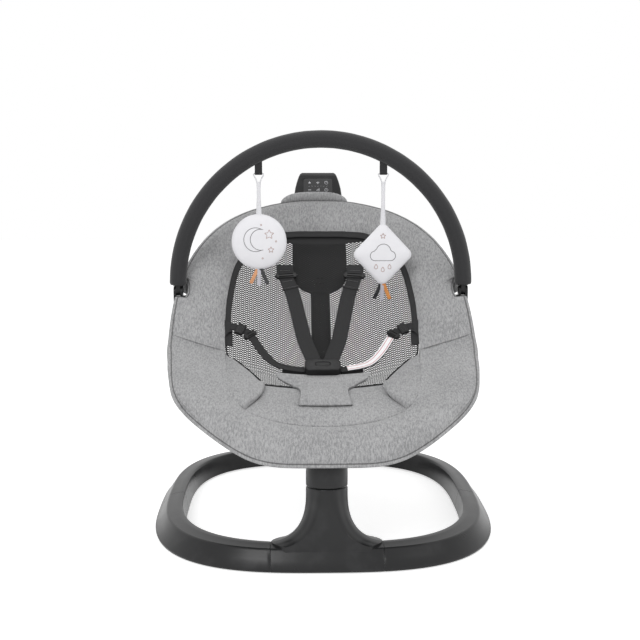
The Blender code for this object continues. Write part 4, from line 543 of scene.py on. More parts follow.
def box(name, size, rounding=0.0):
    """A box at the origin, its edges rounded."""
    deselect()
    bpy.ops.mesh.primitive_cube_add(size=1.0)
    made = named(name)
    made.scale = size
    bpy.ops.object.transform_apply(location=False, rotation=False, scale=True)
    if rounding > 0:
        with editing(made):
            bpy.ops.mesh.select_all(action="SELECT")
            bpy.ops.mesh.bevel(offset=rounding, segments=3, profile=0.5, affect="EDGES")
    return made


def block(name, size, corner, segments):
    """A box whose upright edges alone are rounded."""
    made = box(name, size)
    with editing(made):
        pick_edges(made, upright=True)
        bpy.ops.mesh.bevel(offset=corner, segments=segments, affect="EDGES")
    return made


def inset_face(obj, way, thickness, depth=0.0, lift=0.0):
    """Inset a block's top, or its underside where way is -1, and lift what is inside."""
    with editing(obj):
        pick(obj, "FACE", lambda face: face.normal.z * way > 0.9)
        bpy.ops.mesh.inset(thickness=thickness, depth=depth)
        bpy.ops.transform.translate(value=(0, 0, lift))


def rod(name, radius, length, sides=64, rounding=0.0, segments=3):
    """A cylinder along Z about the origin, its rims rounded."""
    deselect()
    bpy.ops.mesh.primitive_cylinder_add(vertices=sides, radius=radius, depth=length)
    made = named(name)
    if rounding > 0:
        with editing(made):
            pick_edges(made, upright=False)
            bpy.ops.mesh.bevel(offset=rounding, segments=segments, profile=0.5, affect="EDGES")
    return made


def place(obj, placement):
    """Move a piece from the bench to its place; the place goes into its mesh."""
    focus(obj)
    obj.matrix_world = placement @ obj.matrix_world
    bpy.ops.object.transform_apply(location=True, rotation=True, scale=True)
    return obj


def apply_modifier(obj, kind, **values):
    focus(obj)
    modifier = obj.modifiers.new(kind.title(), kind)
    for key, value in values.items():
        setattr(modifier, key, value)
    bpy.ops.object.modifier_apply(modifier=modifier.name)
    return obj


def eased(obj, width, segments):
    """Round a piece's sharp edges."""
    return apply_modifier(obj, "BEVEL", width=width, segments=segments, limit_method="ANGLE")


def cut(target, tool, operation="DIFFERENCE"):
    apply_modifier(target, "BOOLEAN", object=tool, operation=operation, solver="EXACT")
    bpy.data.objects.remove(tool)


def joined(name, pieces):
    deselect()
    for piece in pieces:
        piece.select_set(True)
    bpy.context.view_layer.objects.active = pieces[0]
    bpy.ops.object.join()
    return named(name)


def skin(name, sections):
    """A closed surface over matching sections of points; its UV map is in metres, U round them, V along."""
    count = len(sections[0])
    widths = [running_lengths([*section, section[0]]) for section in sections]
    lengths = running_lengths([section[0] for section in sections])
    faces = []
    uvs = []
    for i in range(len(sections) - 1):
        n = i + 1
        for k in range(count):
            j = (k + 1) % count
            faces.append((i * count + k, i * count + j, n * count + j, n * count + k))
            uvs += [(widths[i][k], lengths[i]), (widths[i][k + 1], lengths[i]),
                    (widths[n][k + 1], lengths[n]), (widths[n][k], lengths[n])]
    last = (len(sections) - 1) * count
    faces += [tuple(range(count))[::-1], tuple(range(last, last + count))]
    uvs += [(0.0, 0.0)] * (2 * count)
    mesh = bpy.data.meshes.new(name)
    mesh.from_pydata([point for section in sections for point in section], [], faces)
    layer = mesh.uv_layers.new(name="cloth")
    for loop, uv in zip(layer.data, uvs):
        loop.uv = uv
    shape = bmesh.new()
    shape.from_mesh(mesh)
    bmesh.ops.recalc_face_normals(shape, faces=shape.faces)
    return surface(name, shape, mesh)


def surface(name, shape, mesh):
    """The object of a finished bmesh."""
    shape.to_mesh(mesh)
    shape.free()
    mesh.shade_smooth()
    return new_object(name, mesh)


def path_frames(path, across):
    """At each point of a path a matrix whose Z runs along it and whose X stays close to across."""
    frames = []
    for k, point in enumerate(path):
        along = (path[min(k + 1, len(path) - 1)] - path[max(k - 1, 0)]).normalized()
        side = (across - across.dot(along) * along).normalized()
        frames.append(frame_of(side, along.cross(side), along, point))
    return frames


def tube(name, path, radius, closed=False, resolution=5):
    """A round tube along a path, made as a curve with a round bevel."""
    data = bpy.data.curves.new(name, "CURVE")
    data.dimensions = "3D"
    data.bevel_depth = radius
    data.bevel_resolution = resolution
    data.use_fill_caps = not closed
    line = data.splines.new("POLY")
    line.points.add(len(path) - 1)
    for point, at in zip(line.points, path):
        point.co = (*at, 1.0)
    line.use_cyclic_u = closed
    line.use_smooth = True
    focus(new_object(name, data))
    bpy.ops.object.convert(target="MESH")
    return named(name)


def finished(obj, body, look, node_name=None, smooth_angle=None):
    """Give a piece its finish and its body; it may stand for a node of the frame."""
    obj.data.materials.clear()
    obj.data.materials.append(FINISHES[look])
    if smooth_angle is not None:
        focus(obj)
        bpy.ops.object.shade_smooth_by_angle(angle=radians(smooth_angle))
    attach(obj, body)
    if node_name:
        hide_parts(node_name)


def carry_over(look, *names):
    """Nodes of the frame that stay as they are, with a better finish."""
    for name in names:
        for slot in frame["nodes"][name].material_slots:
            slot.material = FINISHES[look]


# Node groups for the effects that several finishes share

def feed(tree, socket, value):
    """Link a socket to another one, or set it."""
    if isinstance(value, bpy.types.NodeSocket):
        tree.links.new(value, socket)
    else:
        socket.default_value = value


def node(tree, kind, inputs=(), **values):
    """A shader node; inputs are numbers, colours or sockets to link."""
    made = tree.nodes.new(kind)
    for key, value in values.items():
        setattr(made, key, value)
    for key, value in dict(inputs).items():
        feed(tree, made.inputs[key], value)
    return made


def maths(tree, operation, *values):
    return node(tree, "ShaderNodeMath", enumerate(values), operation=operation).outputs[0]


def vector_maths(tree, operation, *values):
    return node(tree, "ShaderNodeVectorMath", enumerate(values), operation=operation).outputs[0]


def weighted(tree, *terms):
    """The sum of some values, each times its weight."""
    return reduce(lambda a, b: maths(tree, "ADD", a, b), [maths(tree, "MULTIPLY", *term) for term in terms])


def between(tree, value, low, high):
    """0 below low and 1 above high, with a soft step between them."""
    return node(tree, "ShaderNodeMapRange", {"Value": value, "From Min": low, "From Max": high},
                interpolation_type="SMOOTHSTEP").outputs[0]


def split(tree, vector):
    return node(tree, "ShaderNodeSeparateXYZ", {0: vector}).outputs


def mix_colour(tree, share, first, second, blend_type="MIX"):
    made = node(tree, "ShaderNodeMix", data_type="RGBA", blend_type=blend_type)
    for socket, value in (("Factor_Float", share), ("A_Color", first), ("B_Color", second)):
        feed(tree, next(s for s in made.inputs if s.identifier == socket), value)
    return next(s for s in made.outputs if s.identifier == "Result_Color")


def noise_value(tree, vector, scale, detail=2.0, roughness=0.5):
    return node(tree, "ShaderNodeTexNoise", {"Vector": vector, "Scale": scale, "Detail": detail,
                                             "Roughness": roughness}).outputs[0]


def new_group(name, inputs, *outputs):
    """A node group whose inputs have these defaults: none for a vector, four numbers for a colour."""
    tree = bpy.data.node_groups.new(name, "ShaderNodeTree")
    for label, default in inputs.items():
        kind = {tuple: "Color", float: "Float"}.get(type(default), "Vector")
        socket = tree.interface.new_socket(label, in_out="INPUT", socket_type="NodeSocket" + kind)
        if default is not None:
            socket.default_value = default
    for label in outputs:
        kind = "Color" if label == "Color" else "Float"
        tree.interface.new_socket(label, in_out="OUTPUT", socket_type="NodeSocket" + kind)
    return tree, tree.nodes.new("NodeGroupInput").outputs, tree.nodes.new("NodeGroupOutput").inputs


def melange_group():
    """Grey melange cloth: pale and dark streaks down the cloth over a fine plain weave."""
    tree, given, made = new_group("melange_cloth", {"Vector": None, "Light": (0.4, 0.4, 0.4, 1),
                                                    "Dark": (0.25, 0.25, 0.25, 1), "Streak Width": 0.0014},
                                  "Color", "Height")
    per_streak = maths(tree, "DIVIDE", 1.0, given["Streak Width"])
    scaled = node(tree, "ShaderNodeVectorMath", {0: given["Vector"], "Scale": per_streak},
                  operation="SCALE").outputs[0]
    streaks = noise_value(tree, vector_maths(tree, "MULTIPLY", scaled, (1.0, 0.34, 0.34)), 0.62, 2.0, 0.62)
    flecks = noise_value(tree, vector_maths(tree, "MULTIPLY", scaled, (0.85, 0.8, 0.8)), 1.5, 1.0)
    clouds = noise_value(tree, given["Vector"], 14.0)
    share = between(tree, weighted(tree, (streaks, 0.62), (flecks, 0.30), (clouds, 0.14)), 0.36, 0.70)
    tree.links.new(mix_colour(tree, share, given["Dark"], given["Light"]), made["Color"])
    waves = split(tree, vector_maths(tree, "SINE", vector_maths(tree, "MULTIPLY", scaled, (9.0, 7.0, 7.0))))
    threads = maths(tree, "MULTIPLY", waves[0], maths(tree, "MAXIMUM", waves[1], waves[2]))
    tree.links.new(maths(tree, "ADD", maths(tree, "MULTIPLY", threads, 0.25), streaks), made["Height"])


def grain_group():
    """Moulded plastic: a fine spark-eroded grain, a faint cloudiness and slightly paler rubbed spots."""
    tree, given, made = new_group("moulded_grain", {"Vector": None, "Base": (0.03, 0.03, 0.03, 1),
                                                    "Grain": 2600.0, "Shine": 0.42, "Rubbing": 0.15},
                                  "Color", "Roughness", "Height")
    clouds = noise_value(tree, given["Vector"], 22.0, 3.0, 0.6)
    rubbed = maths(tree, "MULTIPLY", between(tree, clouds, 0.45, 0.75), given["Rubbing"])
    tree.links.new(mix_colour(tree, rubbed, given["Base"], (0.10, 0.10, 0.104, 1)), made["Color"])
    uneven = maths(tree, "MULTIPLY", maths(tree, "SUBTRACT", clouds, 0.5), 0.14)
    tree.links.new(maths(tree, "ADD", given["Shine"], uneven), made["Roughness"])
    tree.links.new(noise_value(tree, given["Vector"], given["Grain"], 1.0), made["Height"])


def tape_group():
    """Woven tape on its UV map in metres: ribs across and a slight twill, with painted shade darkening the
    edges between the ribs and a painted highlight on their crests.
    """
    tree, given, made = new_group("woven_tape", {"UV": None, "Base": (0.02, 0.02, 0.02, 1), "Rib": 0.0012},
                                  "Color", "Height")
    across, along, _ = split(tree, given["UV"])
    turns = maths(tree, "DIVIDE", 2 * pi, given["Rib"])
    lean = maths(tree, "ADD", along, maths(tree, "MULTIPLY", across, 0.5))
    rib = maths(tree, "SINE", maths(tree, "MULTIPLY", lean, turns))
    twill = maths(tree, "SINE", maths(tree, "MULTIPLY", maths(tree, "MULTIPLY", across, 1.35), turns))
    height = maths(tree, "ADD", weighted(tree, (rib, 0.35), (twill, 0.25)), 0.5)
    share = weighted(tree, (height, 0.55), (noise_value(tree, given["UV"], 900.0), 0.45))
    # Painted light: the colour follows the rib height, base ×1.9 on the crests as painted highlight and ×0.55
    # in the grooves as painted shade; the noise adds random tone.
    pale = mix_colour(tree, 1.0, given["Base"], (1.9, 1.9, 1.9, 1), "MULTIPLY")
    dark = mix_colour(tree, 1.0, given["Base"], (0.55, 0.55, 0.55, 1), "MULTIPLY")
    tree.links.new(mix_colour(tree, share, dark, pale), made["Color"])
    tree.links.new(height, made["Height"])


def net_group():
    """Knitted net on its UV map in metres: staggered oval holes, closed where the density is 1."""
    tree, given, made = new_group("knitted_net", {"UV": None, "Pitch": 0.0074, "Row": 0.0024,
                                                  "Density": 0.0}, "Alpha", "Height")
    across, along, _ = split(tree, given["UV"])
    row = maths(tree, "DIVIDE", along, given["Row"])
    stagger = maths(tree, "MULTIPLY", maths(tree, "FLOORED_MODULO", maths(tree, "FLOOR", row), 2.0), 0.5)
    column = maths(tree, "ADD", maths(tree, "DIVIDE", across, given["Pitch"]), stagger)
    a, b = (maths(tree, "DIVIDE", maths(tree, "SUBTRACT", maths(tree, "FRACT", at), 0.5), half)
            for at, half in ((column, 0.25), (row, 0.32)))
    reach = maths(tree, "SQRT", weighted(tree, (a, a), (b, b)))
    reach = maths(tree, "ADD", reach, maths(tree, "MULTIPLY", given["Density"], 2.0))
    tree.links.new(between(tree, reach, 0.92, 1.04), made["Alpha"])
    tree.links.new(maths(tree, "MINIMUM", reach, 1.6), made["Height"])


def plush_group():
    """Soft brushed cloth: fine fuzz over a faint weave."""
    tree, given, made = new_group("brushed_cloth", {"Vector": None, "Base": (0.8, 0.8, 0.8, 1),
                                                    "Fuzz": 1400.0}, "Color", "Height")
    fuzz = noise_value(tree, given["Vector"], given["Fuzz"], 3.0, 0.7)
    share = weighted(tree, (fuzz, 0.6), (noise_value(tree, given["Vector"], 90.0), 0.4))
    shaded = mix_colour(tree, 1.0, given["Base"], (0.86, 0.86, 0.87, 1), "MULTIPLY")
    tree.links.new(mix_colour(tree, share, shaded, given["Base"]), made["Color"])
    tree.links.new(fuzz, made["Height"])


# Finishes

FINISHES = {}
RIBBON_COLOURS = {"peach_ribbon": (0.60, 0.30, 0.16), "pale_ribbon": (0.47, 0.46, 0.50),
                  "dark_grey_ribbon": (0.045, 0.045, 0.048), "black_ribbon": (0.014, 0.014, 0.015),
                  "lavender_ribbon": (0.40, 0.39, 0.44), "orange_ribbon": (0.52, 0.21, 0.06)}


def new_finish(name, **constants):
    """A material with its shader's own constants set: its tree, shader inputs and coordinates."""
    made = bpy.data.materials.new(name)
    FINISHES[name] = made
    made.use_nodes = True
    tree = made.node_tree
    shader = tree.nodes["Principled BSDF"].inputs
    for key, value in constants.items():
        shader[key.replace("_", " ")].default_value = value
    return tree, shader, tree.nodes.new("ShaderNodeTexCoord").outputs


def effect(tree, group, inputs):
    return node(tree, "ShaderNodeGroup", inputs, node_tree=bpy.data.node_groups[group]).outputs


def dress(tree, shader, colour, height, depth, strength):
    """Link a colour, and a height in the range 0 to 1 as relief of a depth."""
    tree.links.new(colour, shader["Base Color"])
    raised = node(tree, "ShaderNodeBump", {"Height": height, "Distance": depth, "Strength": strength})
    tree.links.new(raised.outputs[0], shader["Normal"])


def plastic_finish(name, colour, shine, grain=2600.0, rubbing=0.12, depth=0.00003, **constants):
    tree, shader, coords = new_finish(name, **constants)
    grained = effect(tree, "moulded_grain", {"Vector": coords["Object"], "Base": (*colour, 1.0),
                                             "Grain": grain, "Shine": shine, "Rubbing": rubbing})
    tree.links.new(grained["Roughness"], shader["Roughness"])
    dress(tree, shader, grained["Color"], grained["Height"], depth, 0.6)


def melange_finish(name, light, dark, streak):
    tree, shader, coords = new_finish(name, Roughness=0.92, Sheen_Weight=0.22, Sheen_Roughness=0.55,
                                      Specular_IOR_Level=0.25)
    cloth = effect(tree, "melange_cloth", {"Vector": coords["Object"], "Light": (*light, 1.0),
                                           "Dark": (*dark, 1.0), "Streak Width": streak})
    dress(tree, shader, cloth["Color"], cloth["Height"], 0.00022, 0.7)


def tape_finish(name, colour, rib):
    tree, shader, coords = new_finish(name, Roughness=0.72, Specular_IOR_Level=0.35)
    woven = effect(tree, "woven_tape", {"UV": coords["UV"], "Base": (*colour, 1.0), "Rib": rib})
    dress(tree, shader, woven["Color"], woven["Height"], 0.00016, 0.8)


def plush_finish(name, colour, fuzz=1400.0, depth=0.0002, rough=0.9, sheen=0.15):
    tree, shader, coords = new_finish(name, Roughness=rough, Sheen_Weight=sheen, Specular_IOR_Level=0.25)
    brushed = effect(tree, "brushed_cloth", {"Vector": coords["Object"], "Base": (*colour, 1.0),
                                             "Fuzz": fuzz})
    dress(tree, shader, brushed["Color"], brushed["Height"], depth, 0.6)


def net_finish():
    """Black net, closed where it is sewn double behind the head."""
    cloth = settings("swing_cloth")
    tree, shader, coords = new_finish("black_net", Roughness=0.68, Specular_IOR_Level=0.3)
    dense = maths(tree, "GREATER_THAN", split(tree, coords["UV"])[1], seat_length(NET_DENSE_Y))
    knitted = effect(tree, "knitted_net", {"UV": coords["UV"], "Pitch": cloth.net_pitch,
                                           "Row": cloth.net_row, "Density": dense})
    woven = effect(tree, "brushed_cloth", {"Vector": coords["Object"],
                                           "Base": (*settings("swing_colours").net, 1.0), "Fuzz": 1800.0})
    tree.links.new(knitted["Alpha"], shader["Alpha"])
    dress(tree, shader, woven["Color"], knitted["Height"], 0.00025, 0.7)


def striped_webbing_finish():
    """White webbing with two fine coloured lines along it."""
    tree, shader, coords = new_finish("striped_white_webbing", Roughness=0.75, Specular_IOR_Level=0.3)
    woven = effect(tree, "woven_tape", {"UV": coords["UV"], "Base": (0.74, 0.73, 0.74, 1.0),
                                        "Rib": settings("swing_cloth").rib_pitch})
    across = split(tree, coords["UV"])[0]
    lines = [maths(tree, "LESS_THAN", maths(tree, "ABSOLUTE", maths(tree, "SUBTRACT", across, at)), 0.00050)
             for at in (0.0032, 0.0112)]
    coloured = mix_colour(tree, maths(tree, "MAXIMUM", *lines), woven["Color"],
                          (*settings("swing_colours").stripe, 1.0))
    dress(tree, shader, coloured, woven["Height"], 0.00012, 0.8)


def metal_finish(name, colour, shine, metallic=1.0, scale=260.0):
    """Bare or painted metal with fine drawn lines and an uneven sheen."""
    tree, shader, coords = new_finish(name, Metallic=metallic)
    drawn = vector_maths(tree, "MULTIPLY", coords["Object"], (1.0, 1.0, 9.0))
    lines = noise_value(tree, drawn, scale, 3.0, 0.6)
    dull = mix_colour(tree, 1.0, (*colour, 1.0), (0.80, 0.80, 0.80, 1.0), "MULTIPLY")
    tree.links.new(maths(tree, "ADD", shine, maths(tree, "MULTIPLY", lines, 0.12)), shader["Roughness"])
    dress(tree, shader, mix_colour(tree, lines, dull, (*colour, 1.0)), lines, 0.00002, 0.5)


def make_finishes():
    for build in (melange_group, grain_group, tape_group, net_group, plush_group):
        build()
    colours = settings("swing_colours")
    cloth = settings("swing_cloth")
    light = Vector(colours.melange_light)
    dark = Vector(colours.melange_dark)
    plastic_finish("satin_dark_plastic", colours.plastic, 0.30, Specular_IOR_Level=0.30)
    plastic_finish("black_fitting_plastic", colours.fitting, 0.34, 2200.0, Specular_IOR_Level=0.28)
    plastic_finish("gloss_black_panel", (0.010, 0.010, 0.011), 0.16, 400.0, 0.05, 0.00001,
                   Coat_Weight=0.4, Coat_Roughness=0.08)
    plastic_finish("black_rubber", (0.018, 0.018, 0.018), 0.82, 1500.0, 0.1, 0.00008)
    plastic_finish("ferrite_magnet", (0.055, 0.053, 0.052), 0.62, 900.0, 0.3, 0.00005)
    plastic_finish("green_board", (0.016, 0.115, 0.045), 0.38, 700.0, 0.1, 0.00003)
    metal_finish("painted_tube", (0.020, 0.020, 0.021), 0.30, 0.2)
    metal_finish("bright_steel", (0.56, 0.57, 0.59), 0.24)
    metal_finish("copper_winding", (0.62, 0.28, 0.13), 0.28, 1.0, 700.0)
    melange_finish("grey_melange_fabric", light, dark, cloth.melange_streak)
    # The grey melange at 0.42 of its brightness, used for the piping cord and as painted shade on the flap's
    # edge cords.
    melange_finish("darkened_melange_fabric", light * 0.42, dark * 0.42, cloth.melange_streak)
    plush_finish("grey_stitching", light * 0.55, 2400.0)
    net_finish()
    tape_finish("black_webbing", colours.webbing, cloth.rib_pitch)
    plush_finish("black_sleeve_fabric", colours.sleeve, 1100.0, 0.00025, 0.85, 0.3)
    plush_finish("white_toy_fabric", colours.toy_cloth, 1500.0)
    tape_finish("white_cord", (0.62, 0.62, 0.64), 0.0016)
    striped_webbing_finish()
    plush_finish("printed_grey_line", (0.16, 0.155, 0.16), 1800.0, 0.00005)
    plush_finish("printed_warm_line", (0.50, 0.36, 0.33), 1800.0, 0.00005)
    plush_finish("panel_icon_white", (0.60, 0.60, 0.62), 900.0, 0.00002, 0.5)
    for name, colour in RIBBON_COLOURS.items():
        tape_finish(name, colour, 0.0009)


# Floor ring and post

def ring_profile():
    """Outline of the ring's section with soft edges: distance from the outer edge inwards, height."""
    top = RING_HEIGHT + RING_TOP_RISE
    inner = RING_SLOPE + RING_TOP_WIDTH
    points = [(0.0008, FOOT_HEIGHT), (RING_BAND - 0.0010, FOOT_HEIGHT), (RING_BAND, FOOT_HEIGHT + 0.0008)]
    points += [(RING_BAND - 0.0012, FOOT_HEIGHT + 0.009), (RING_BAND - 0.0030, top - 0.012)]
    points += arc(inner - 0.0045, top - 0.0045, 0.0045, 8, 82, 6)
    points += [(inner - 0.012, top - 0.0006)]
    points += arc(RING_SLOPE + 0.0050, RING_HEIGHT - 0.0042, 0.0058, 84, 150, 7)
    points += [(RING_SLOPE - 0.0075, RING_HEIGHT - 0.0125), (0.0028, FOOT_HEIGHT + 0.0048)]
    points += arc(0.0024, FOOT_HEIGHT + 0.0022, 0.0022, 160, 225, 4)
    return points


def ring_point(angle, inset, height):
    a = cos(radians(angle))
    b = sin(radians(angle))
    half_width = RING_WIDTH / 2 - inset
    half_depth = RING_DEPTH / 2 - inset
    radius = ((abs(a) / half_width) ** RING_SQUARENESS
              + (abs(b) / half_depth) ** RING_SQUARENESS) ** (-1 / RING_SQUARENESS)
    return Vector((radius * a, radius * b, height))


def cover_edge(side, inset, shift=0.0):
    """Angle of the cover's square end on the line that lies inset inside the ring's outline."""
    x = COVER_HALF_WIDTH + shift
    half_width = RING_WIDTH / 2 - inset
    half_depth = RING_DEPTH / 2 - inset
    y = half_depth * (1 - (x / half_width) ** RING_SQUARENESS) ** (1 / RING_SQUARENESS)
    return 270.0 + side * atan2(x, y) * 180 / pi


def ring_piece(name, start, end, steps):
    """A stretch of the ring between two angles or two square ends, its end edges eased."""
    profile = ring_profile()
    middle = (sum(a for a, b in profile) / len(profile), sum(b for a, b in profile) / len(profile))
    ease = 0.0006
    turn = ease / 0.3 * 180 / pi
    shares = [0.0, 0.0] + [k / steps for k in range(1, steps)] + [1.0, 1.0]
    sections = []
    for index, share in enumerate(shares):
        section = []
        for a, b in profile:
            if index in (0, len(shares) - 1):
                toward = Vector((middle[0] - a, middle[1] - b)).normalized() * ease
                a, b = a + toward.x, b + toward.y
            first = start(a) if callable(start) else start
            last = end(a) if callable(end) else end
            angle = first + (last - first) * share
            if index == 1:
                angle += turn
            if index == len(shares) - 2:
                angle -= turn
            section.append(ring_point(angle, a, b))
        sections.append(section)
    return skin(name, sections)


def flare_width(t):
    widening = FLARE_REACH * (1.0 - max(0.0, 1.0 - t ** FLARE_SHAPE) ** (1 / FLARE_SHAPE))
    return min(POST_RADIUS + widening, COVER_HALF_WIDTH - 0.0006)


def post_section(height, t, shrink):
    """The post's outline at a height: a flat front between two ridges, round sides and rear.

    It is round at t = 0, under the collar, and as wide as the ring's cover at t = 1, on the ring."""
    lean = tan(radians(AXIS_LEAN))
    centre_y = POST_Y + (height - SEAM_Z) * lean
    half_width = flare_width(t) - shrink
    foot_front = centre_y + RING_DEPTH / 2 - RING_SLOPE
    front = POST_RADIUS + (foot_front - POST_RADIUS) * t - shrink
    rear = POST_RADIUS + FLARE_REAR_REACH * t ** 3 - shrink
    ridge_angle = radians(76.0 - 16.0 * t)
    ridge = half_width * cos(radians(76.0)) * (1 - t) + half_width * 0.74 * t
    points = []
    steps = 22
    for k in range(steps + 1):
        angle = ridge_angle * k / steps
        x = ridge + (half_width - ridge) * (cos(angle) - cos(ridge_angle)) / (1 - cos(ridge_angle))
        drawn_back = 0.0040 * (1 - smoothstep(0.62, 0.97, k / steps)) * smoothstep(0.0, 0.25, k / steps)
        points.append((x, drawn_back - front * sin(angle) / sin(ridge_angle) * (1 - 0.03 * (1 - t))))
    flat = [(ridge * share, points[-1][1] - 0.0008 * (1 - share ** 2))
            for share in (1 - 2 * k / 8 for k in range(1, 8))]
    left = [(-x, y) for x, y in reversed(points)]
    rear_points = [(-half_width * cos(pi * k / 36), rear * sin(pi * k / 36)) for k in range(1, 36)]
    outline = points + flat + left + rear_points
    return [Vector((x, centre_y + y, height - y * lean * (1 - t) ** 0.5)) for x, y in outline]


def axis_frame(height=0.0):
    """On the swing's axis at a height over the seam, Z along it."""
    return moved(0, POST_Y, SEAM_Z) @ Matrix.Rotation(-radians(AXIS_LEAN), 4, "X") @ moved(0, 0, height)


def recline_axis():
    """On the recline's hinge, Z along it."""
    return axis_frame(RECLINE_HEIGHT) @ Matrix.Rotation(pi / 2, 4, "Y")


def pin_hole():
    return place(rod("pin_hole", PIN_HOLE_RADIUS, 0.1, 32), recline_axis())


def post_body(edge):
    """The flared post up to the seam under the collar."""
    ring_top = RING_HEIGHT + RING_TOP_RISE
    sections = [post_section(FOOT_HEIGHT + 0.003, 1.0, 0.0015), post_section(ring_top - 0.003, 1.0, 0.0)]
    steps = 34
    for k in range(steps, -1, -1):
        t = (k / steps) ** 0.8 * 0.997
        sections.append(post_section(FLARE_TOP - t * (FLARE_TOP - ring_top), t, 0.0))
    top = SEAM_Z - RUNNING_GAP
    for k in range(7):
        turn = pi / 2 * k / 6
        sections.append(post_section(top - edge * (1 - sin(turn)), 0.0, edge * (1 - cos(turn))))
    return skin("post", sections)


class SWING_OT_floor_ring(bpy.types.Operator):
    """Model the floor ring's four mouldings and the flared post"""

    bl_idname = "swing.floor_ring"
    bl_label = "Floor Ring and Post"

    def execute(self, context):
        mouldings = settings("swing_mouldings")
        half = atan2(mouldings.seam_gap / 2, RING_WIDTH / 2) * 180 / pi
        left_seam = 180.0 - SIDE_SEAM_ANGLE
        right_seam = 360.0 + SIDE_SEAM_ANGLE
        gap = mouldings.seam_gap / 2
        plastic = "satin_dark_plastic"
        for name, start, end, steps in (
                ("ring_rear", right_seam - 360.0 + half, left_seam - half, 180),
                ("ring_left", left_seam + half, lambda inset: cover_edge(-1, inset, gap), 72),
                ("ring_right", lambda inset: cover_edge(1, inset, gap), right_seam - half, 72)):
            node_name = name.replace("ring", "base_arc")
            finished(ring_piece(name, start, end, steps), "base", plastic, node_name, 32)
        cover = ring_piece("front_cover", lambda inset: cover_edge(-1, inset, -gap),
                           lambda inset: cover_edge(1, inset, -gap), 48)
        cut(cover, post_body(mouldings.edge), "UNION")
        cut(cover, place(rod("bore", BORE_RADIUS, 2 * BORE_DEPTH, 64), axis_frame()))
        finished(cover, "base", plastic, "base_front_cover", 32)
        carry_over("black_rubber", "foot_front_left", "foot_front_right", "foot_rear_left", "foot_rear_right")
        carry_over("satin_dark_plastic", "base_bottom_plate")
        carry_over("bright_steel", "power_inlet", "upper_bearing", "lower_bearing")
        carry_over("green_board", "drive_board")
        carry_over("copper_winding", "drive_coil")
        return {"FINISHED"}


class SWING_OT_collar(bpy.types.Operator):
    """Model the collar that turns on the post"""

    bl_idname = "swing.collar"
    bl_label = "Swinging Collar"

    def execute(self, context):
        edge = settings("swing_mouldings").edge
        collar = rod("collar", POST_RADIUS, COLLAR_HEIGHT - 2 * RUNNING_GAP, 128, edge, 5)
        place(collar, axis_frame(COLLAR_HEIGHT / 2 + RUNNING_GAP))
        slot_start = -KNUCKLE_RADIUS - 0.0045
        slot_height = COLLAR_HEIGHT - SLOT_FLOOR + 0.01
        slot = box("slot", (2 * CHEEK_GAP_HALF, 2 * POST_RADIUS, slot_height), 0.001)
        place(slot, axis_frame() @ moved(0, slot_start + POST_RADIUS, SLOT_FLOOR + slot_height / 2))
        cut(collar, slot)
        cut(collar, place(rod("socket", SHAFT_SOCKET_RADIUS, 0.05, 48), axis_frame()))
        cut(collar, pin_hole())
        finished(collar, "swivel", "satin_dark_plastic", "swivel_collar", 32)
        carry_over("bright_steel", "recline_pin", "swing_shaft")
        carry_over("ferrite_magnet", "magnet_rotor")
        return {"FINISHED"}


# Arm, back plate, frame tubes and control pod

def arm_path(steps=8):
    hinge = axis_frame(RECLINE_HEIGHT).translation
    points = [hinge] + [hinge + Vector((0, back, up)) for back, up in ARM_RISE]
    for y in (0.045, 0.120, 0.200, 0.228):
        points.append(seat_point(0, y, -ARM_DEPTH))
    return smooth_through(points, steps)


def tube_point(angle):
    plan = rim_point(angle, TUBE_INSET)
    return hung_point(plan.x, plan.y, TUBE_DEPTH)


def tube_line(start, end, count):
    return [tube_point(start + (end - start) * k / (count - 1)) for k in range(count)]


def tube_space(start, end):
    """Room for a stretch of the frame tube."""
    return tube("tube_space", tube_line(start, end, 25), TUBE_RADIUS + TUBE_PLAY)


def front_clamp():
    """Bracket on the arm, over the collar, that holds the frame's front tube from below."""
    rest = tube_point(270.0)
    hinge = axis_frame(RECLINE_HEIGHT).translation
    top = rest.z + TUBE_RADIUS / 4
    bottom = rest.z - TUBE_RADIUS - 0.0023
    front = rest.y - TUBE_RADIUS - 0.0015
    keel = [(hinge.y + back, hinge.z + up) for back, up in CLAMP_KEEL]
    outline = [(front, bottom), (keel[0][0] - 0.0027, bottom), *keel, (hinge.y, top - 0.001),
               (front + 0.003, top), (front, top - 0.003)]
    half = ARM_WIDTH / 2 - 0.001
    return skin("clamp", [[Vector((x, y, z)) for y, z in outline] for x in (-half, half)])


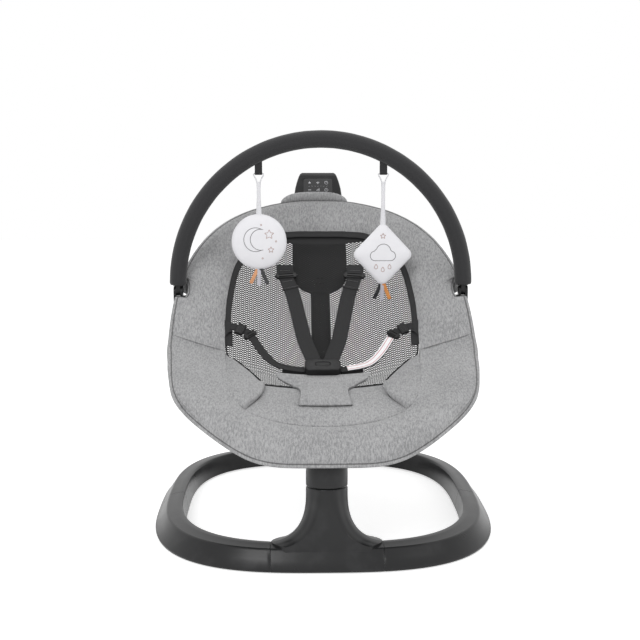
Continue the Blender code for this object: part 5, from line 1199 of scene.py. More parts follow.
class SWING_OT_arm_and_frame(bpy.types.Operator):
    """Model the arm behind the net, the back plate and the tubular frame"""

    bl_idname = "swing.arm_and_frame"
    bl_label = "Arm, Back Plate and Frame"

    def execute(self, context):
        plastic = "satin_dark_plastic"
        outline = rounded_rectangle(ARM_WIDTH, ARM_THICKNESS, 0.0045, 5)
        arm = skin("arm", [[station @ Vector((a, b, 0)) for a, b in outline]
                           for station in path_frames(arm_path(), Vector((1, 0, 0)))])
        knuckle = rod("knuckle", KNUCKLE_RADIUS, 2 * CHEEK_GAP_HALF - 0.0006, 64, 0.001)
        cut(arm, place(knuckle, recline_axis()), "UNION")
        cut(arm, eased(front_clamp(), 0.0015, 3), "UNION")
        cut(arm, pin_hole())
        cut(arm, tube_space(252.0, 288.0))
        finished(arm, "seat", plastic, "support_arm", 32)
        self.back_plate(plastic)
        right, left = JOINT_ANGLE, 180.0 - JOINT_ANGLE
        for word, start, end, count in (("rear", right, left, 150), ("front", left, 360.0 + right, 110)):
            finished(tube("frame_tube_" + word, tube_line(start, end, count), TUBE_RADIUS), "seat",
                     "painted_tube", "seat_frame_" + word)
        carry_over("black_fitting_plastic", "frame_joint_right", "frame_joint_left", "toy_bar_mount_right",
                   "toy_bar_mount_left")
        return {"FINISHED"}

    def back_plate(self, plastic):
        """The broad plate behind the net, with vent slots near its foot."""
        lift = -ARM_DEPTH + ARM_THICKNESS / 2 + 0.0003
        sections = []
        for y, half in spaced(smooth_through([Vector(row) for row in BACK_PLATE_ROWS], 8), 26):
            half = min(half, BACK_PLATE_HALF_WIDTH)
            profile = rounded_rectangle(2 * half, 0.0042, 0.0012, 2)
            sections.append([seat_point(0, y, lift + 0.0021 + b) + Vector((a, 0, 0)) for a, b in profile])
        plate = skin("back_plate_panel", sections)
        for k in range(4):
            slot = box("vent", (0.017, 0.0017, 0.02), 0.0006)
            cut(plate, place(slot, seat_frame(0, 0.1185 + 0.0048 * k, lift + 0.006)))
        finished(plate, "seat", plastic, "back_plate", 32)


def pod_frame():
    """On the control face: X right, Y up the face, Z out of it."""
    return moved(0, POD_FACE_Y, POD_FACE_Z) @ Matrix.Rotation(radians(POD_TILT), 4, "X")


def pod_height():
    return (POD_TOP_Z - POD_FACE_Z) / sin(radians(POD_TILT))


class SWING_OT_control_pod(bpy.types.Operator):
    """Model the control pod behind the head with its panel and marks"""

    bl_idname = "swing.control_pod"
    bl_label = "Control Pod"

    def execute(self, context):
        face = pod_frame()
        height = pod_height()
        housing = self.housing(face, height)
        middle = face @ moved(0, height * PANEL_MIDDLE, 0)
        pocket = block("pocket", (PANEL_WIDTH + 0.0014, height * PANEL_SHARE + 0.0008, 0.004), 0.0044, 6)
        cut(housing, place(pocket, middle))
        cut(housing, tube_space(72.0, 108.0))
        finished(housing, "seat", "satin_dark_plastic", "control_housing", 35)
        self.panel(middle, height)
        carry_over("green_board", "panel_board")
        carry_over("bright_steel", "speaker")
        return {"FINISHED"}

    def housing(self, face, height):
        """From the end of the arm to behind the face and over its rounded top."""
        arm = arm_path(2)
        along = (arm[-1] - arm[-2]).normalized()
        out = Vector((0, -along.z, along.y))
        rows = [(arm[-3] + along * distance - out * 0.0030, out, ARM_WIDTH / 2 + wider, ARM_THICKNESS)
                for distance, wider in ((0.0, 0.003), (0.018, 0.004))]
        up = (face.to_3x3() @ Vector((0, 1, 0))).normalized()
        out = (face.to_3x3() @ Vector((0, 0, 1))).normalized()
        for share, half, thickness in POD_ROWS:
            thick = POD_THICKNESS * thickness
            behind = out * (thick / 2 + 0.0016 * smoothstep(0.9, 1.0, share) * 1.6)
            rows.append((face.translation + up * (height * share) - behind, out, half, thick))
        sections = []
        for middle, out, half, thick in rows:
            outline = rounded_rectangle(2 * half, thick, thick * 0.30, 6)
            sections.append([middle + Vector((a, 0, 0)) + out * b for a, b in outline])
        return skin("pod_housing", sections)

    def panel(self, middle, height):
        """The touch panel, its six key marks and a row of dots."""
        panel = block("touch_panel", (PANEL_WIDTH, height * PANEL_SHARE - 0.0006, PANEL_THICKNESS), 0.0040, 6)
        inset_face(panel, 1, 0.0008, depth=0.0002)
        place(panel, middle @ moved(0, 0, -0.0004))
        finished(panel, "seat", "gloss_black_panel", "control_panel", 30)
        top = middle @ moved(0, 0, 0.00052)
        marks = []
        for column, x in enumerate((-0.0165, 0.0, 0.0165)):
            for row, y in enumerate((0.0090, -0.0064)):
                at = top @ moved(x, y, 0) @ Matrix.Scale(1.35, 4)
                marks += [place(part, at) for part in key_mark(column + 3 * row)]
        for k in range(7):
            dot = rod("dot", 0.00050, MARK_THICKNESS, 12)
            marks.append(place(dot, top @ moved((k - 3) * 0.0058, 0.0014, 0)))
        finished(joined("panel_marks", marks), "seat", "panel_icon_white")


def bar_mark(width, height, x=0.0, y=0.0):
    return place(box("mark", (width, height, MARK_THICKNESS)), moved(x, y, 0))


def key_mark(kind):
    """The parts of a plain mark for one touch key: bars, a triangle and rings."""
    if kind == 0:
        return [rod("mark", 0.0022, MARK_THICKNESS, 3)]
    if kind == 1:
        return [bar_mark(0.0044, 0.0008), bar_mark(0.0008, 0.0044)]
    if kind == 2:
        return [ring_mark(0.0023), bar_mark(0.0006, 0.0026, 0, 0.0014)]
    if kind == 3:
        return [bar_mark(0.0044, 0.0008)]
    if kind == 4:
        return [bar_mark(0.0008, 0.0016 + 0.0012 * k, 0.0016 * (k - 1), 0.0006 * (k - 1)) for k in range(3)]
    return [ring_mark(0.0023), rod("mark", 0.0006, MARK_THICKNESS, 12)]


def ring_mark(radius):
    deselect()
    bpy.ops.mesh.primitive_torus_add(major_radius=radius, minor_radius=0.0003, major_segments=32,
                                     minor_segments=6)
    return named("mark")


# Padded cover

def skirt_depth(x, y):
    """The edge's turn-down, shorter along the lip and behind the head where the control pod stands."""
    if y < RIM_MID_Y:
        share = min(1.0, (RIM_MID_Y - y) / (RIM_MID_Y - LIP_Y))
        return SKIRT_DEPTH + (LIP_SKIRT_DEPTH - SKIRT_DEPTH) * share ** 2
    share = min(1.0, max(0.0, (abs(x) - POD_MID_HALF_WIDTH) / 0.06))
    return SKIRT_DEPTH * (0.25 + 0.75 * share)


def notched(edge):
    """The pad's edge, drawn in where the toy bar passes, and how far that is so."""
    reach = SLEEVE_RADIUS + 0.0035
    off = abs(edge.y - BAR_Y)
    share = 1.0 - smoothstep(reach - 0.0022, reach + 0.0018, off)
    if share <= 0.0 or abs(edge.x) < 0.2:
        return edge, 0.0
    inner_x = BAR_RADIUS - SLEEVE_RADIUS - 0.0016
    limit = inner_x + 0.55 * reach * (1 - sqrt(max(0.0, 1 - min(1.0, off / reach) ** 2)))
    x = min(abs(edge.x), lerp(abs(edge.x), limit, share))
    return Vector((x if edge.x > 0 else -x, edge.y)), share


def noise_at(x, y, z):
    return noise.noise(Vector((x, y, z)))


def unevenness(x, y, share):
    """Soft waves of the padding, none at its seams."""
    wave = noise_at(x * 17.0, y * 17.0, 1.7) + 0.45 * noise_at(x * 43, y * 43, 5.1)
    window = smoothstep(0.0, 0.22, share) * (1.0 - smoothstep(0.80, 1.0, share))
    dimple = -0.0022 * max(0.0, 1.0 - hypot(abs(x) - 0.222, y - 0.080) / 0.018) ** 2
    return (settings("swing_padding").wrinkle * wave + dimple) * window


def puckers(along, away):
    """Gathers of the cloth beside a seam, away metres from it."""
    gather = noise_at(along * 105.0, 0.3, 2.9) + 0.6 * noise_at(along * 230.0, 4.0, 8.0)
    return settings("swing_padding").pucker * gather * max(0.0, 1.0 - away / 0.022) ** 2


TOP_SHARES = [0.0, 0.010, 0.025] + [0.05 + 0.91 * k / 24 for k in range(25)] + [0.98, 1.0]


def fullness_of_rim(angle):
    """How far the stuffed rim stands out from its outline, how low its piping rolls, and its extra depth."""
    turned = angle if angle <= 270.0 else 540.0 - angle
    if turned < 180.0:
        return 0.0, 0.0, 0.0
    corner = smoothstep(208.0, 232.0, turned) * (1.0 - smoothstep(246.0, 268.0, turned))
    slim = smoothstep(184.0, 198.0, turned) * (1.0 - smoothstep(204.0, 220.0, turned))
    return 0.0085 * corner - 0.0042 * slim, smoothstep(200.0, 228.0, turned), 0.0050 * corner


def at_height(at, height):
    """Over the seat surface by a height along its normal, or straight below it where that is negative."""
    return seat_point(at.x, at.y, height) if height > 0 else hung_point(at.x, at.y, -height)


def rim_section(angle, inner, lift_at):
    """Closed section of a rim pad: over the top to the piping, round the band to the hem, and back under."""
    edge, cut_in = notched(rim_point(angle))
    width = (edge - inner).length
    direction = (edge - inner) / width
    hem = lerp(skirt_depth(edge.x, edge.y), 0.0058, cut_in)
    stands_out, low_piping, deeper = fullness_of_rim(angle)
    edge = edge + direction * stands_out
    width += stands_out
    hem += deeper
    seam_drop = low_piping * (0.0037 + max(0.0, hem - 0.0068))
    seam_in = 0.0060 * (0.40 + 0.60 * hem / SKIRT_DEPTH)
    along = radians(angle) * 0.28
    loop = []
    for share in TOP_SHARES:
        at = inner + direction * (0.0003 + (width - seam_in - 0.0003) * share)
        away = (1.0 - share) * (width - seam_in)
        rolled = seam_drop * max(0.0, 1.0 - away / 0.030) ** 2.2
        loop.append(at_height(at, lift_at(share) - rolled + unevenness(at.x, at.y, share)
                              + puckers(along, away)))
    piping = loop[-1].copy()
    seam_lift = lift_at(1.0) - seam_drop
    low = max(hem * 0.34, 0.35 * hem - 0.65 * seam_lift)
    for k in range(1, 9):
        turn = pi / 2 * k / 8
        at = edge - direction * (seam_in * (1 - sin(turn)))
        height = -low + (seam_lift + low) * cos(turn)
        height += 0.7 * puckers(along + 3.0, 0.004 * k / 8) * sin(2 * turn)
        loop.append(at_height(at, height))
    for inset, depth in HEMS:
        at = edge - direction * (inset * (0.35 + 0.65 * hem / SKIRT_DEPTH) if cut_in else inset)
        loop.append(hung_point(at.x, at.y, max(hem * depth, min(hem, PAD_UNDER))))
    for inset in (0.0085, TUBE_INSET, TUBE_INSET + 0.015):
        at = edge - direction * inset
        loop.append(seat_point(at.x, at.y, -PAD_UNDER))
    at = inner + direction * 0.0003
    loop.append(seat_point(at.x, at.y, -PAD_UNDER * 0.65))
    return loop, piping


def rim_angles(start, end):
    """Angles along the rim, closer together where the toy bar's notch is."""
    angles = [start]
    while angles[-1] < end - 1e-6:
        at_notch = abs(rim_point(angles[-1]).y - BAR_Y) < 0.026
        angles.append(min(end, angles[-1] + (0.22 if at_notch else 0.75)))
    return angles


def rim_pad(name, start, end, inner_radius, lift_of):
    """A pad between an inner line and the rim, and the line of its piping."""
    sections = []
    piping = []
    for angle in rim_angles(start, end):
        section, seam = rim_section(angle, plan_point(angle, inner_radius), lift_of(angle))
        sections.append(section)
        piping.append(seam)
    return skin(name, sections), piping


def back_lift(angle):
    """Height of the back pad across its width: crowned, and drawn in at the side seams."""
    from_seam = min(angle, 180.0 - angle)
    near_seam = 1.0 - smoothstep(0.0, 26.0, from_seam)
    inner = lerp(0.0012, 0.0060, near_seam)
    valley = lerp(0.66, 1.0, smoothstep(0.0, 3.6, from_seam))
    crown = lerp(settings("swing_padding").back_crown - 0.002, 0.0040, near_seam)

    def lift(share):
        full = lerp(inner, 0.0037, share) + crown * (1 - abs(2 * share - 1) ** 3.0)
        return full * lerp(valley, 1.0, smoothstep(0.9, 1.0, share))
    return lift


def front_lift(angle):
    """Height of the front rim across its width: a crest along the thigh pads, a roll along the lip."""
    from_seam = min(angle - 180.0, 360.0 - angle)
    lip = 1.0 - smoothstep(0.118, 0.150, abs(plan_point(angle, rim_seam_radius).x))
    crest = lerp(0.0060, 0.0122, smoothstep(0.0, 9.0, from_seam))
    valley = lerp(0.66, 1.0, smoothstep(0.0, 3.6, from_seam))
    crown = settings("swing_padding").rim_crown - 0.0035

    def lift(share):
        side = 0.0037 + (crest - 0.0037) * (1 - share ** 1.5) - 0.0014 * sin(pi * min(1.0, 2.2 * share))
        roll = lerp(0.0050, 0.0037, share) + crown * (1 - abs(2 * share - 1) ** 2.6)
        full = lerp(side, roll, lip)
        return full * lerp(valley, 1.0, smoothstep(0.9, 1.0, share))
    return lift


def thigh_lines(side, count):
    """Inner line, along the net and down the valley, and outer line, along the rim seam."""
    start = next(k for k, p in enumerate(OPENING_LINE) if p.y < RIM_SEAM[0][1] + 0.004)
    inner = [Vector((side * p.x, p.y)) for p in OPENING_LINE[start:]]
    inner += smooth_through([Vector((side * x, y)) for x, y in VALLEY], 8)[1:]
    tip = Vector((side * (VALLEY[-1][0] + 0.006), VALLEY[-1][1] + 0.002))
    outer = [Vector((side * p.x, p.y)) for p in RIM_SEAM_LINE if p.y > tip.y]
    outer[0] = Vector((side * (RIM_SEAM[0][0] - 0.0005), RIM_SEAM[0][1] - 0.0006))
    outer = [p - Vector((side * 0.0002, 0)) for p in outer] + [tip]
    return spaced(inner, count), spaced(outer, count)


def thigh_pad(name, side):
    """From the net's edge up to the crest; over the front cushion it hangs over a deep fold."""
    count = 64
    steps = 22
    sections = []
    for k, (inner, outer) in enumerate(zip(*thigh_lines(side, count))):
        direction = (outer - inner).normalized()
        first = inner + direction * 0.0003
        last = outer - direction * 0.0003
        width = max((last - first).length, 1e-4)
        fold = smoothstep(0.100, 0.128, -inner.y)
        ends = min(1.0, (k + 0.4) / 9.0, (count - 1 - k + 0.6) / 10.0)
        fullness = 0.30 + 0.70 * sqrt(1 - (1 - ends) ** 2)
        low = lerp(0.0038, 0.0092, fold)
        loop = [seat_point(first.x, first.y, 0.0006)]
        for j in range(1, steps + 1):
            share = (j / steps) ** 1.25
            at = first.lerp(last, share)
            rise = 1 - (1 - min(1.0, share * width / lerp(0.010, 0.0035, fold))) ** 2.4
            height = 0.0010 + fullness * (lerp(low, 0.0112, share ** 3) * rise + 0.0022 * sin(pi * share))
            height += unevenness(at.x, at.y, share) * fullness
            over = -direction * (0.0050 * fold * fullness * max(0.0, 1.0 - share * width / 0.010))
            loop.append(seat_point(at.x + over.x, at.y + over.y, height))
        for j in range(4, -1, -1):
            at = first.lerp(last, j / 4)
            loop.append(seat_point(at.x, at.y, -PAD_UNDER * 0.8))
        sections.append(loop)
    return skin(name, sections)


def crown(share, power=2.6):
    return 1.0 - abs(2.0 * share - 1.0) ** power


def cushion_half_width(y):
    points = [Vector(p) for p in VALLEY]
    for a, b in zip(points, points[1:]):
        if y >= b.y:
            return a.x + (b.x - a.x) * (a.y - y) / (a.y - b.y)
    return points[-1].x


def cushion_front_y(x):
    line = [p for p in RIM_SEAM_LINE if p.y < -0.2]
    for a, b in zip(line, line[1:]):
        if b.x <= abs(x) <= a.x:
            return a.y + (b.y - a.y) * (a.x - abs(x)) / max(a.x - b.x, 1e-9)
    return line[0].y


def cushion_lift(x, y):
    """Top of the front cushion above the seat surface."""
    share = min(1, max(0, (OPENING_FRONT_Y - y) / (OPENING_FRONT_Y - cushion_front_y(x))))
    across = crown(min(1, max(0, 0.5 + 0.5 * x / cushion_half_width(y))))
    full = settings("swing_padding").cushion_crown - 0.001
    return 0.001 + across * (full * crown(share) + 0.0035 * smoothstep(0.78, 1.0, share))


def front_cushion():
    """Closed sections from the net's front edge to the lip seam, side by side."""
    columns, rows = 44, 36
    sections = []
    for k in range(columns + 1):
        across = -1 + 2 * k / columns
        front_y = cushion_front_y(across * (VALLEY[-1][0] - 0.001)) + 0.0012
        top = []
        under = []
        for j in range(rows + 1):
            y = lerp(OPENING_FRONT_Y - 0.0006, front_y, j / rows)
            x = across * (cushion_half_width(y) - 0.0018)
            wave = unevenness(x, y, j / rows) * crown(0.5 + 0.5 * across)
            top.append(seat_point(x, y, cushion_lift(x, y) + wave * smoothstep(-0.200, -0.225, y)))
            if j % 3 == 0:
                under.append(seat_point(x, y, -PAD_UNDER * 0.8))
        sections.append(top + under[::-1])
    return skin("front_cushion", sections)


def stitches(name, line, length):
    """Short raised threads along a line."""
    count = max(3, int(running_lengths(line)[-1] / length))
    points = spaced(line, 2 * count + 1)
    shape = bmesh.new()
    for a, b in zip(points[0::2], points[1::2]):
        along = (b - a).normalized()
        side = along.orthogonal().normalized()
        third = along.cross(side)
        rings = []
        for share, radius in ((-0.15, 0.00010), (0.12, 0.00030), (0.88, 0.00030), (1.15, 0.00010)):
            at = a.lerp(b, share)
            rings.append([shape.verts.new(at + (side * cos(t) + third * sin(t)) * radius)
                          for t in (2 * pi * k / 6 for k in range(6))])
        for low, high in zip(rings, rings[1:]):
            for k in range(6):
                shape.faces.new((low[k], low[(k + 1) % 6], high[(k + 1) % 6], high[k]))
        shape.faces.new(rings[0][::-1])
        shape.faces.new(rings[-1])
    return surface(name, shape, bpy.data.meshes.new(name))


class SWING_OT_cover(bpy.types.Operator):
    """Sew the grey padded cover: back, front rim, thigh pads, cushion and piping"""

    bl_idname = "swing.cover"
    bl_label = "Padded Cover"

    def execute(self, context):
        cloth = "grey_melange_fabric"
        back, piping = rim_pad("back_pad", 0.01, 179.99, opening_radius, back_lift)
        front, front_piping = rim_pad("front_rim", 180.01, 359.99, rim_seam_radius, front_lift)
        piping += front_piping
        thighs = [thigh_pad("thigh_pad_" + word, side) for side, word in SIDES]
        for pad in (back, front, *thighs, front_cushion()):
            finished(pad, "seat", cloth, "cover_" + pad.name, 70)
        piping = [at for before, at in zip(piping[-1:] + piping, piping) if (at - before).length > 0.0002]
        cord = tube("cover_piping", piping, settings("swing_padding").piping_radius, True, 3)
        finished(cord, "seat", "darkened_melange_fabric")
        for side, word in SIDES:
            crest = []
            for p in RIM_SEAM_LINE:
                if -0.214 < p.y < -0.036:
                    lift = lerp(0.0062, 0.0116, smoothstep(0.035, 0.080, -p.y))
                    crest.append(seat_point(side * (p.x - 0.0002), p.y, lift))
            finished(tube("thigh_seam_" + word, crest, 0.0013, False, 3), "seat", cloth)
        reach = VALLEY[-1][0] + 0.003
        lip = [seat_point(x, cushion_front_y(x) + 0.0004, 0.0059 - 0.0016 * (abs(x) / reach) ** 4)
               for x in (reach * (-1 + 2 * k / 60) for k in range(61))]
        finished(tube("lip_seam", lip, 0.0023, False, 4), "seat", cloth)
        for side, word in SIDES:
            facing = [[seat_point(side * x, y, -0.0015) + Vector((0, a, b)) for a, b in FACING_SECTION]
                      for x, y in NOTCH_FACING]
            finished(skin("notch_facing_" + word, facing), "seat", cloth)
        return {"FINISHED"}


def seat_length(y):
    """Length along the middle of the seat surface, from the lip's edge up to y."""
    step = 0.002
    count = max(1, int((y - LIP_Y) / step))
    steps = [LIP_Y + (y - LIP_Y) * k / count for k in range(count + 1)]
    return sum(hypot(b - a, seat_height(0, b) - seat_height(0, a)) for a, b in zip(steps, steps[1:]))


def net_lift(x, y):
    """Depth of the stretched net under the seat surface, at a place inside the opening."""
    offset = Vector((x, y - RIM_MID_Y))
    angle = atan2(offset.y, abs(offset.x)) * 180 / pi
    share = min(1.0, offset.length / opening_radius(angle))
    return -0.0013 - NET_SAG * (1 - share ** 2)


class SWING_OT_net(bpy.types.Operator):
    """Stretch the see-through net in the opening and bind its edge"""

    bl_idname = "swing.net"
    bl_label = "Net and Binding"

    def execute(self, context):
        count, rings = 240, 44
        low, step = -0.12, 0.005
        table = [(y, seat_length(y)) for y in (low + step * k for k in range(67))]
        centre = Vector((0, RIM_MID_Y))
        vertices = [seat_point(0, RIM_MID_Y, net_lift(0, RIM_MID_Y))]
        plan = [centre]
        faces = []
        for ring in range(1, rings + 1):
            for k in range(count):
                at = centre.lerp(plan_point(360.0 * k / count, opening_radius, 0.0009), ring / rings)
                plan.append(at)
                vertices.append(seat_point(at.x, at.y, net_lift(at.x, at.y)))
        for k in range(count):
            j = (k + 1) % count
            faces.append((0, 1 + k, 1 + j))
            for ring in range(rings - 1):
                a = 1 + ring * count
                faces.append((a + k, a + count + k, a + count + j, a + j))
        mesh = bpy.data.meshes.new("net")
        mesh.from_pydata(vertices, [], faces)
        layer = mesh.uv_layers.new(name="cloth")
        for loop in mesh.loops:
            at = plan[loop.vertex_index]
            index = min(len(table) - 2, max(0, int((at.y - low) / step)))
            (y0, v0), (y1, v1) = table[index], table[index + 1]
            layer.data[loop.index].uv = (at.x, v0 + (v1 - v0) * (at.y - y0) / (y1 - y0))
        mesh.shade_smooth()
        net = new_object("net", mesh)
        finished(net, "seat", "black_net", "net_panel")
        length = table[-1][1] - seat_length(OPENING_FRONT_Y)
        self.binding()
        return {"FINISHED"}

    def binding(self):
        """Tape round the net's upper edge, and narrow hems along its front and lower sides."""
        half = spaced([p for p in OPENING_LINE if p.y > RIM_SEAM[0][1] + 0.012], 70)
        path = [Vector((-p.x, p.y)) for p in half[:0:-1]] + half
        sections = []
        last = len(path) - 1
        for k, at in enumerate(path):
            ahead = path[min(k + 1, last)] - path[max(k - 1, 0)]
            across = Vector((-ahead.y, ahead.x)).normalized()
            end = 1.0 - smoothstep(3.0, 9.0, min(k, last - k))
            width = 0.010 * (1.0 + 0.4 * end)
            edges = [(at - across * lerp(-0.0012, width, share), lift) for share, lift in BINDING_SECTION]
            sections.append([seat_point(edge.x, edge.y, lift) for edge, lift in edges])
        finished(skin("net_binding_tape", sections), "seat", "black_webbing", "net_binding", 50)
        front = [seat_point(-0.099 + 0.198 * k / 40, OPENING_FRONT_Y + 0.0022, 0.0012) for k in range(41)]
        finished(tube("net_front_hem", front, 0.0018, False, 3), "seat", "black_webbing")
        edge = spaced([p for p in OPENING_LINE if p.y < RIM_SEAM[0][1] + 0.014], 40)
        for side, word in SIDES:
            hem = [seat_point(side * (p.x - 0.0024), p.y + 0.0008, 0.0004) for p in edge]
            finished(tube("net_side_hem_" + word, hem, 0.0013, False, 3), "seat", "black_webbing")


def flap_height(x, y, half, fullness):
    """Top of the padded flap: flat hems outside the stitched lines, stuffed between them."""
    stuffed = half - FLAP_HEM
    inner = max(0.0, 1.0 - (abs(x) / stuffed) ** 2.6) if abs(x) < stuffed else 0.0
    groove = 0.0007 * max(0.0, 1.0 - abs(abs(x) - stuffed) / 0.0018)
    return cushion_lift(x, y) + 0.0046 + 0.0040 * inner ** 0.7 * fullness - groove * min(1.0, fullness * 3)


class SWING_OT_flap_and_pillow(bpy.types.Operator):
    """Sew the crotch flap and the gathered head roll"""

    bl_idname = "swing.flap_and_pillow"
    bl_label = "Flap and Head Roll"

    def execute(self, context):
        cloth = "grey_melange_fabric"
        rows = smooth_through([Vector(row) for row in FLAP_ROWS], 6)
        steps = 30
        sections = []
        for y, half, fullness in rows:
            fullness = min(1.0, max(0.0, fullness))
            xs = [half * (-1 + 2 * j / steps) for j in range(steps + 1)]
            tops = [seat_point(x, y, flap_height(x, y, half, fullness)) for x in xs]
            unders = [seat_point(x, y, cushion_lift(x, y) + 0.0030) for x in xs[::-3]]
            sections.append(tops + unders)
        flap = skin("crotch_flap_pad", sections)
        finished(flap, "seat", cloth, "crotch_flap", 60)
        thread = "grey_stitching"
        pitch = settings("swing_cloth").stitch
        for side, word in SIDES:
            seam = [(half - FLAP_HEM, y, half) for y, half, _ in rows if -0.207 < y < -0.084]
            line = [seat_point(side * x, y, flap_height(x, y, half, 1.0) + 0.0003) for x, y, half in seam]
            finished(stitches("flap_stitching_" + word, line, pitch), "seat", thread)
            # Painted shade: a thin dark cord along each side of the flap, under its raised edge, stands in
            # for the shadow there.
            edge = [seat_point(side * (half - 0.0003), y, cushion_lift(half, y) + 0.0020)
                    for y, half, _ in rows if -0.2145 < y < -0.084]
            finished(tube("flap_binding_" + word, edge, 0.0011, False, 3), "seat", "darkened_melange_fabric")
        across = [seat_point(x, -0.2075, cushion_lift(x, -0.2075) + 0.0070)
                  for x in (-0.034 + 0.068 * k / 20 for k in range(21))]
        finished(stitches("flap_stitching_end", across, pitch), "seat", thread)
        self.pillow(cloth)
        return {"FINISHED"}

    def pillow(self, cloth):
        """A stuffed roll on the rim, gathered at its ends and along its seam."""
        count = 97
        sections = []
        for k in range(count):
            share = -1 + 2 * k / (count - 1)
            round_share = sqrt(max(0.0, 1 - abs(share) ** 3.2))
            x = HEAD_ROLL_REACH * share - HEAD_ROLL_SHIFT
            plan = rim_point(atan2(HEAD_Y - RIM_MID_Y, x) * 180 / pi)
            rise = 0.0152 * round_share + 0.0024
            thick = 0.0125 * (0.40 + 0.60 * round_share)
            foot = seat_height(plan.x, plan.y) - 0.0004 - 0.0024 * share ** 4
            base = Vector((plan.x, plan.y - 0.0048, foot))
            gather = noise_at(share * 16.0, 0.0, 7.0) + 0.6 * noise_at(share * 38.0, 1, 3)
            loop = []
            for j in range(28):
                turn = 2 * pi * j / 28
                pinch = 1.0 - 0.10 * max(0.0, -sin(turn)) ** 2
                fold = 1.0 + 0.085 * gather * (0.6 + 0.4 * noise_at(share * 9, turn, 1.0))
                loop.append(base + Vector((0, thick / 2 * cos(turn) * fold * pinch,
                                           rise / 2 * (1 + sin(turn) * fold))))
            sections.append(loop)
        roll = skin("head_roll", sections)
        finished(roll, "seat", cloth, "head_pillow", 70)


# Harness

def seat_route(route, side, count, tail=()):
    """Stations of a strap, (point, normal) pairs at equal distances: over the seat, then through the tail."""
    line = [(seat_point(side * at.x, at.y, at.z), seat_normal(side * at.x, at.y))
            for at in smooth_through([Vector(p) for p in route], 4)]
    line += list(tail)
    points = smooth_through([point for point, _ in line], 2)
    normals = []
    for (_, first), (_, second) in zip(line, line[1:]):
        normals += [first, (first + second).normalized()]
    normals.append(line[-1][1])
    stations = []
    for point in spaced(points, count):
        nearest = min(range(len(points)), key=lambda k: (points[k] - point).length)
        stations.append((point, normals[nearest]))
    return stations


def web_frames(stations):
    """Frames along a strap's underside: X across it, Y along it, Z out of it."""
    frames = []
    for k, (point, normal) in enumerate(stations):
        along = (stations[min(k + 1, len(stations) - 1)][0] - stations[max(k - 1, 0)][0]).normalized()
        across = normal.cross(along).normalized()
        out = along.cross(across).normalized()
        frames.append(frame_of(across, -along, out, point))
    return frames


def web_outline(half):
    """Webbing's section: across it, and a share of its thickness."""
    upper = ((half, 0.45), (half - 0.0003, 0.92), (half - 0.0011, 1.0), (half - 0.0021, 0.90), (0.0, 0.92))
    lower = ((half - 0.0003, 0.05), (half - 0.0012, 0.0))
    return [*upper, *((-a, b) for a, b in upper[-2::-1]), *((-a, b) for a, b in lower), *lower[::-1]]


def web(name, frames, width, lift=0.0, first_width=None):
    """Flat webbing along its frames, its edges a little thicker; it may start wider than it goes on."""
    sections = []
    for k, station in enumerate(frames):
        half = lerp(first_width or width, width, smoothstep(SLIDER_AT - 1, SLIDER_AT + 3, k)) / 2
        sections.append([station @ Vector((a, 0, lift + b * WEB_THICKNESS)) for a, b in web_outline(half)])
    return skin(name, sections)


def buckle_frame(height):
    """On the buckle's underside, or a height over it."""
    return seat_frame(0, BUCKLE_Y, BUCKLE_LIFT) @ moved(0, 0, height)


def waist_frames(side):
    return web_frames(seat_route(WAIST_ROUTE, side, 53, slot_tail(side, "waist")))


def slot_tail(side, direction):
    """The last stretch of a strap, straight into its slot in the buckle."""
    placement = buckle_frame(BUCKLE_SIZE[2] / 2 + SLOT_LIFT - WEB_THICKNESS / 2)
    normal = (placement.to_3x3() @ Vector((0, 0, 1))).normalized()
    points = []
    for reach in (0.0060, 0.0010, -SLOT_DEPTH):
        if direction == "shoulder":
            local = Vector((side * SHOULDER_SLOT_X, BUCKLE_SIZE[1] / 2 + reach, 0))
        else:
            local = Vector((side * (BUCKLE_SIZE[0] / 2 + reach), WAIST_SLOT_Y, 0))
        points.append((placement @ local, normal))
    return points


def ladder_slider(name, width, length, thickness):
    """A strap slider: a flat frame with ears, a window on each side of its middle bar."""
    edge = settings("swing_mouldings").key_edge
    body = box(name, (width + 0.0085, length, thickness), edge)
    ears = box("ears", (width + 0.0125, length * 0.42, thickness * 0.62), edge * 0.8)
    cut(body, ears, "UNION")
    cut(body, box("passage", (width + 0.0012, length * 2, WEB_THICKNESS + 0.0012)))
    for shift in (-0.24, 0.24):
        window = box("window", (width - 0.0015, length * 0.20, thickness))
        cut(body, place(window, moved(0, shift * length, thickness * 0.6)))
    return body


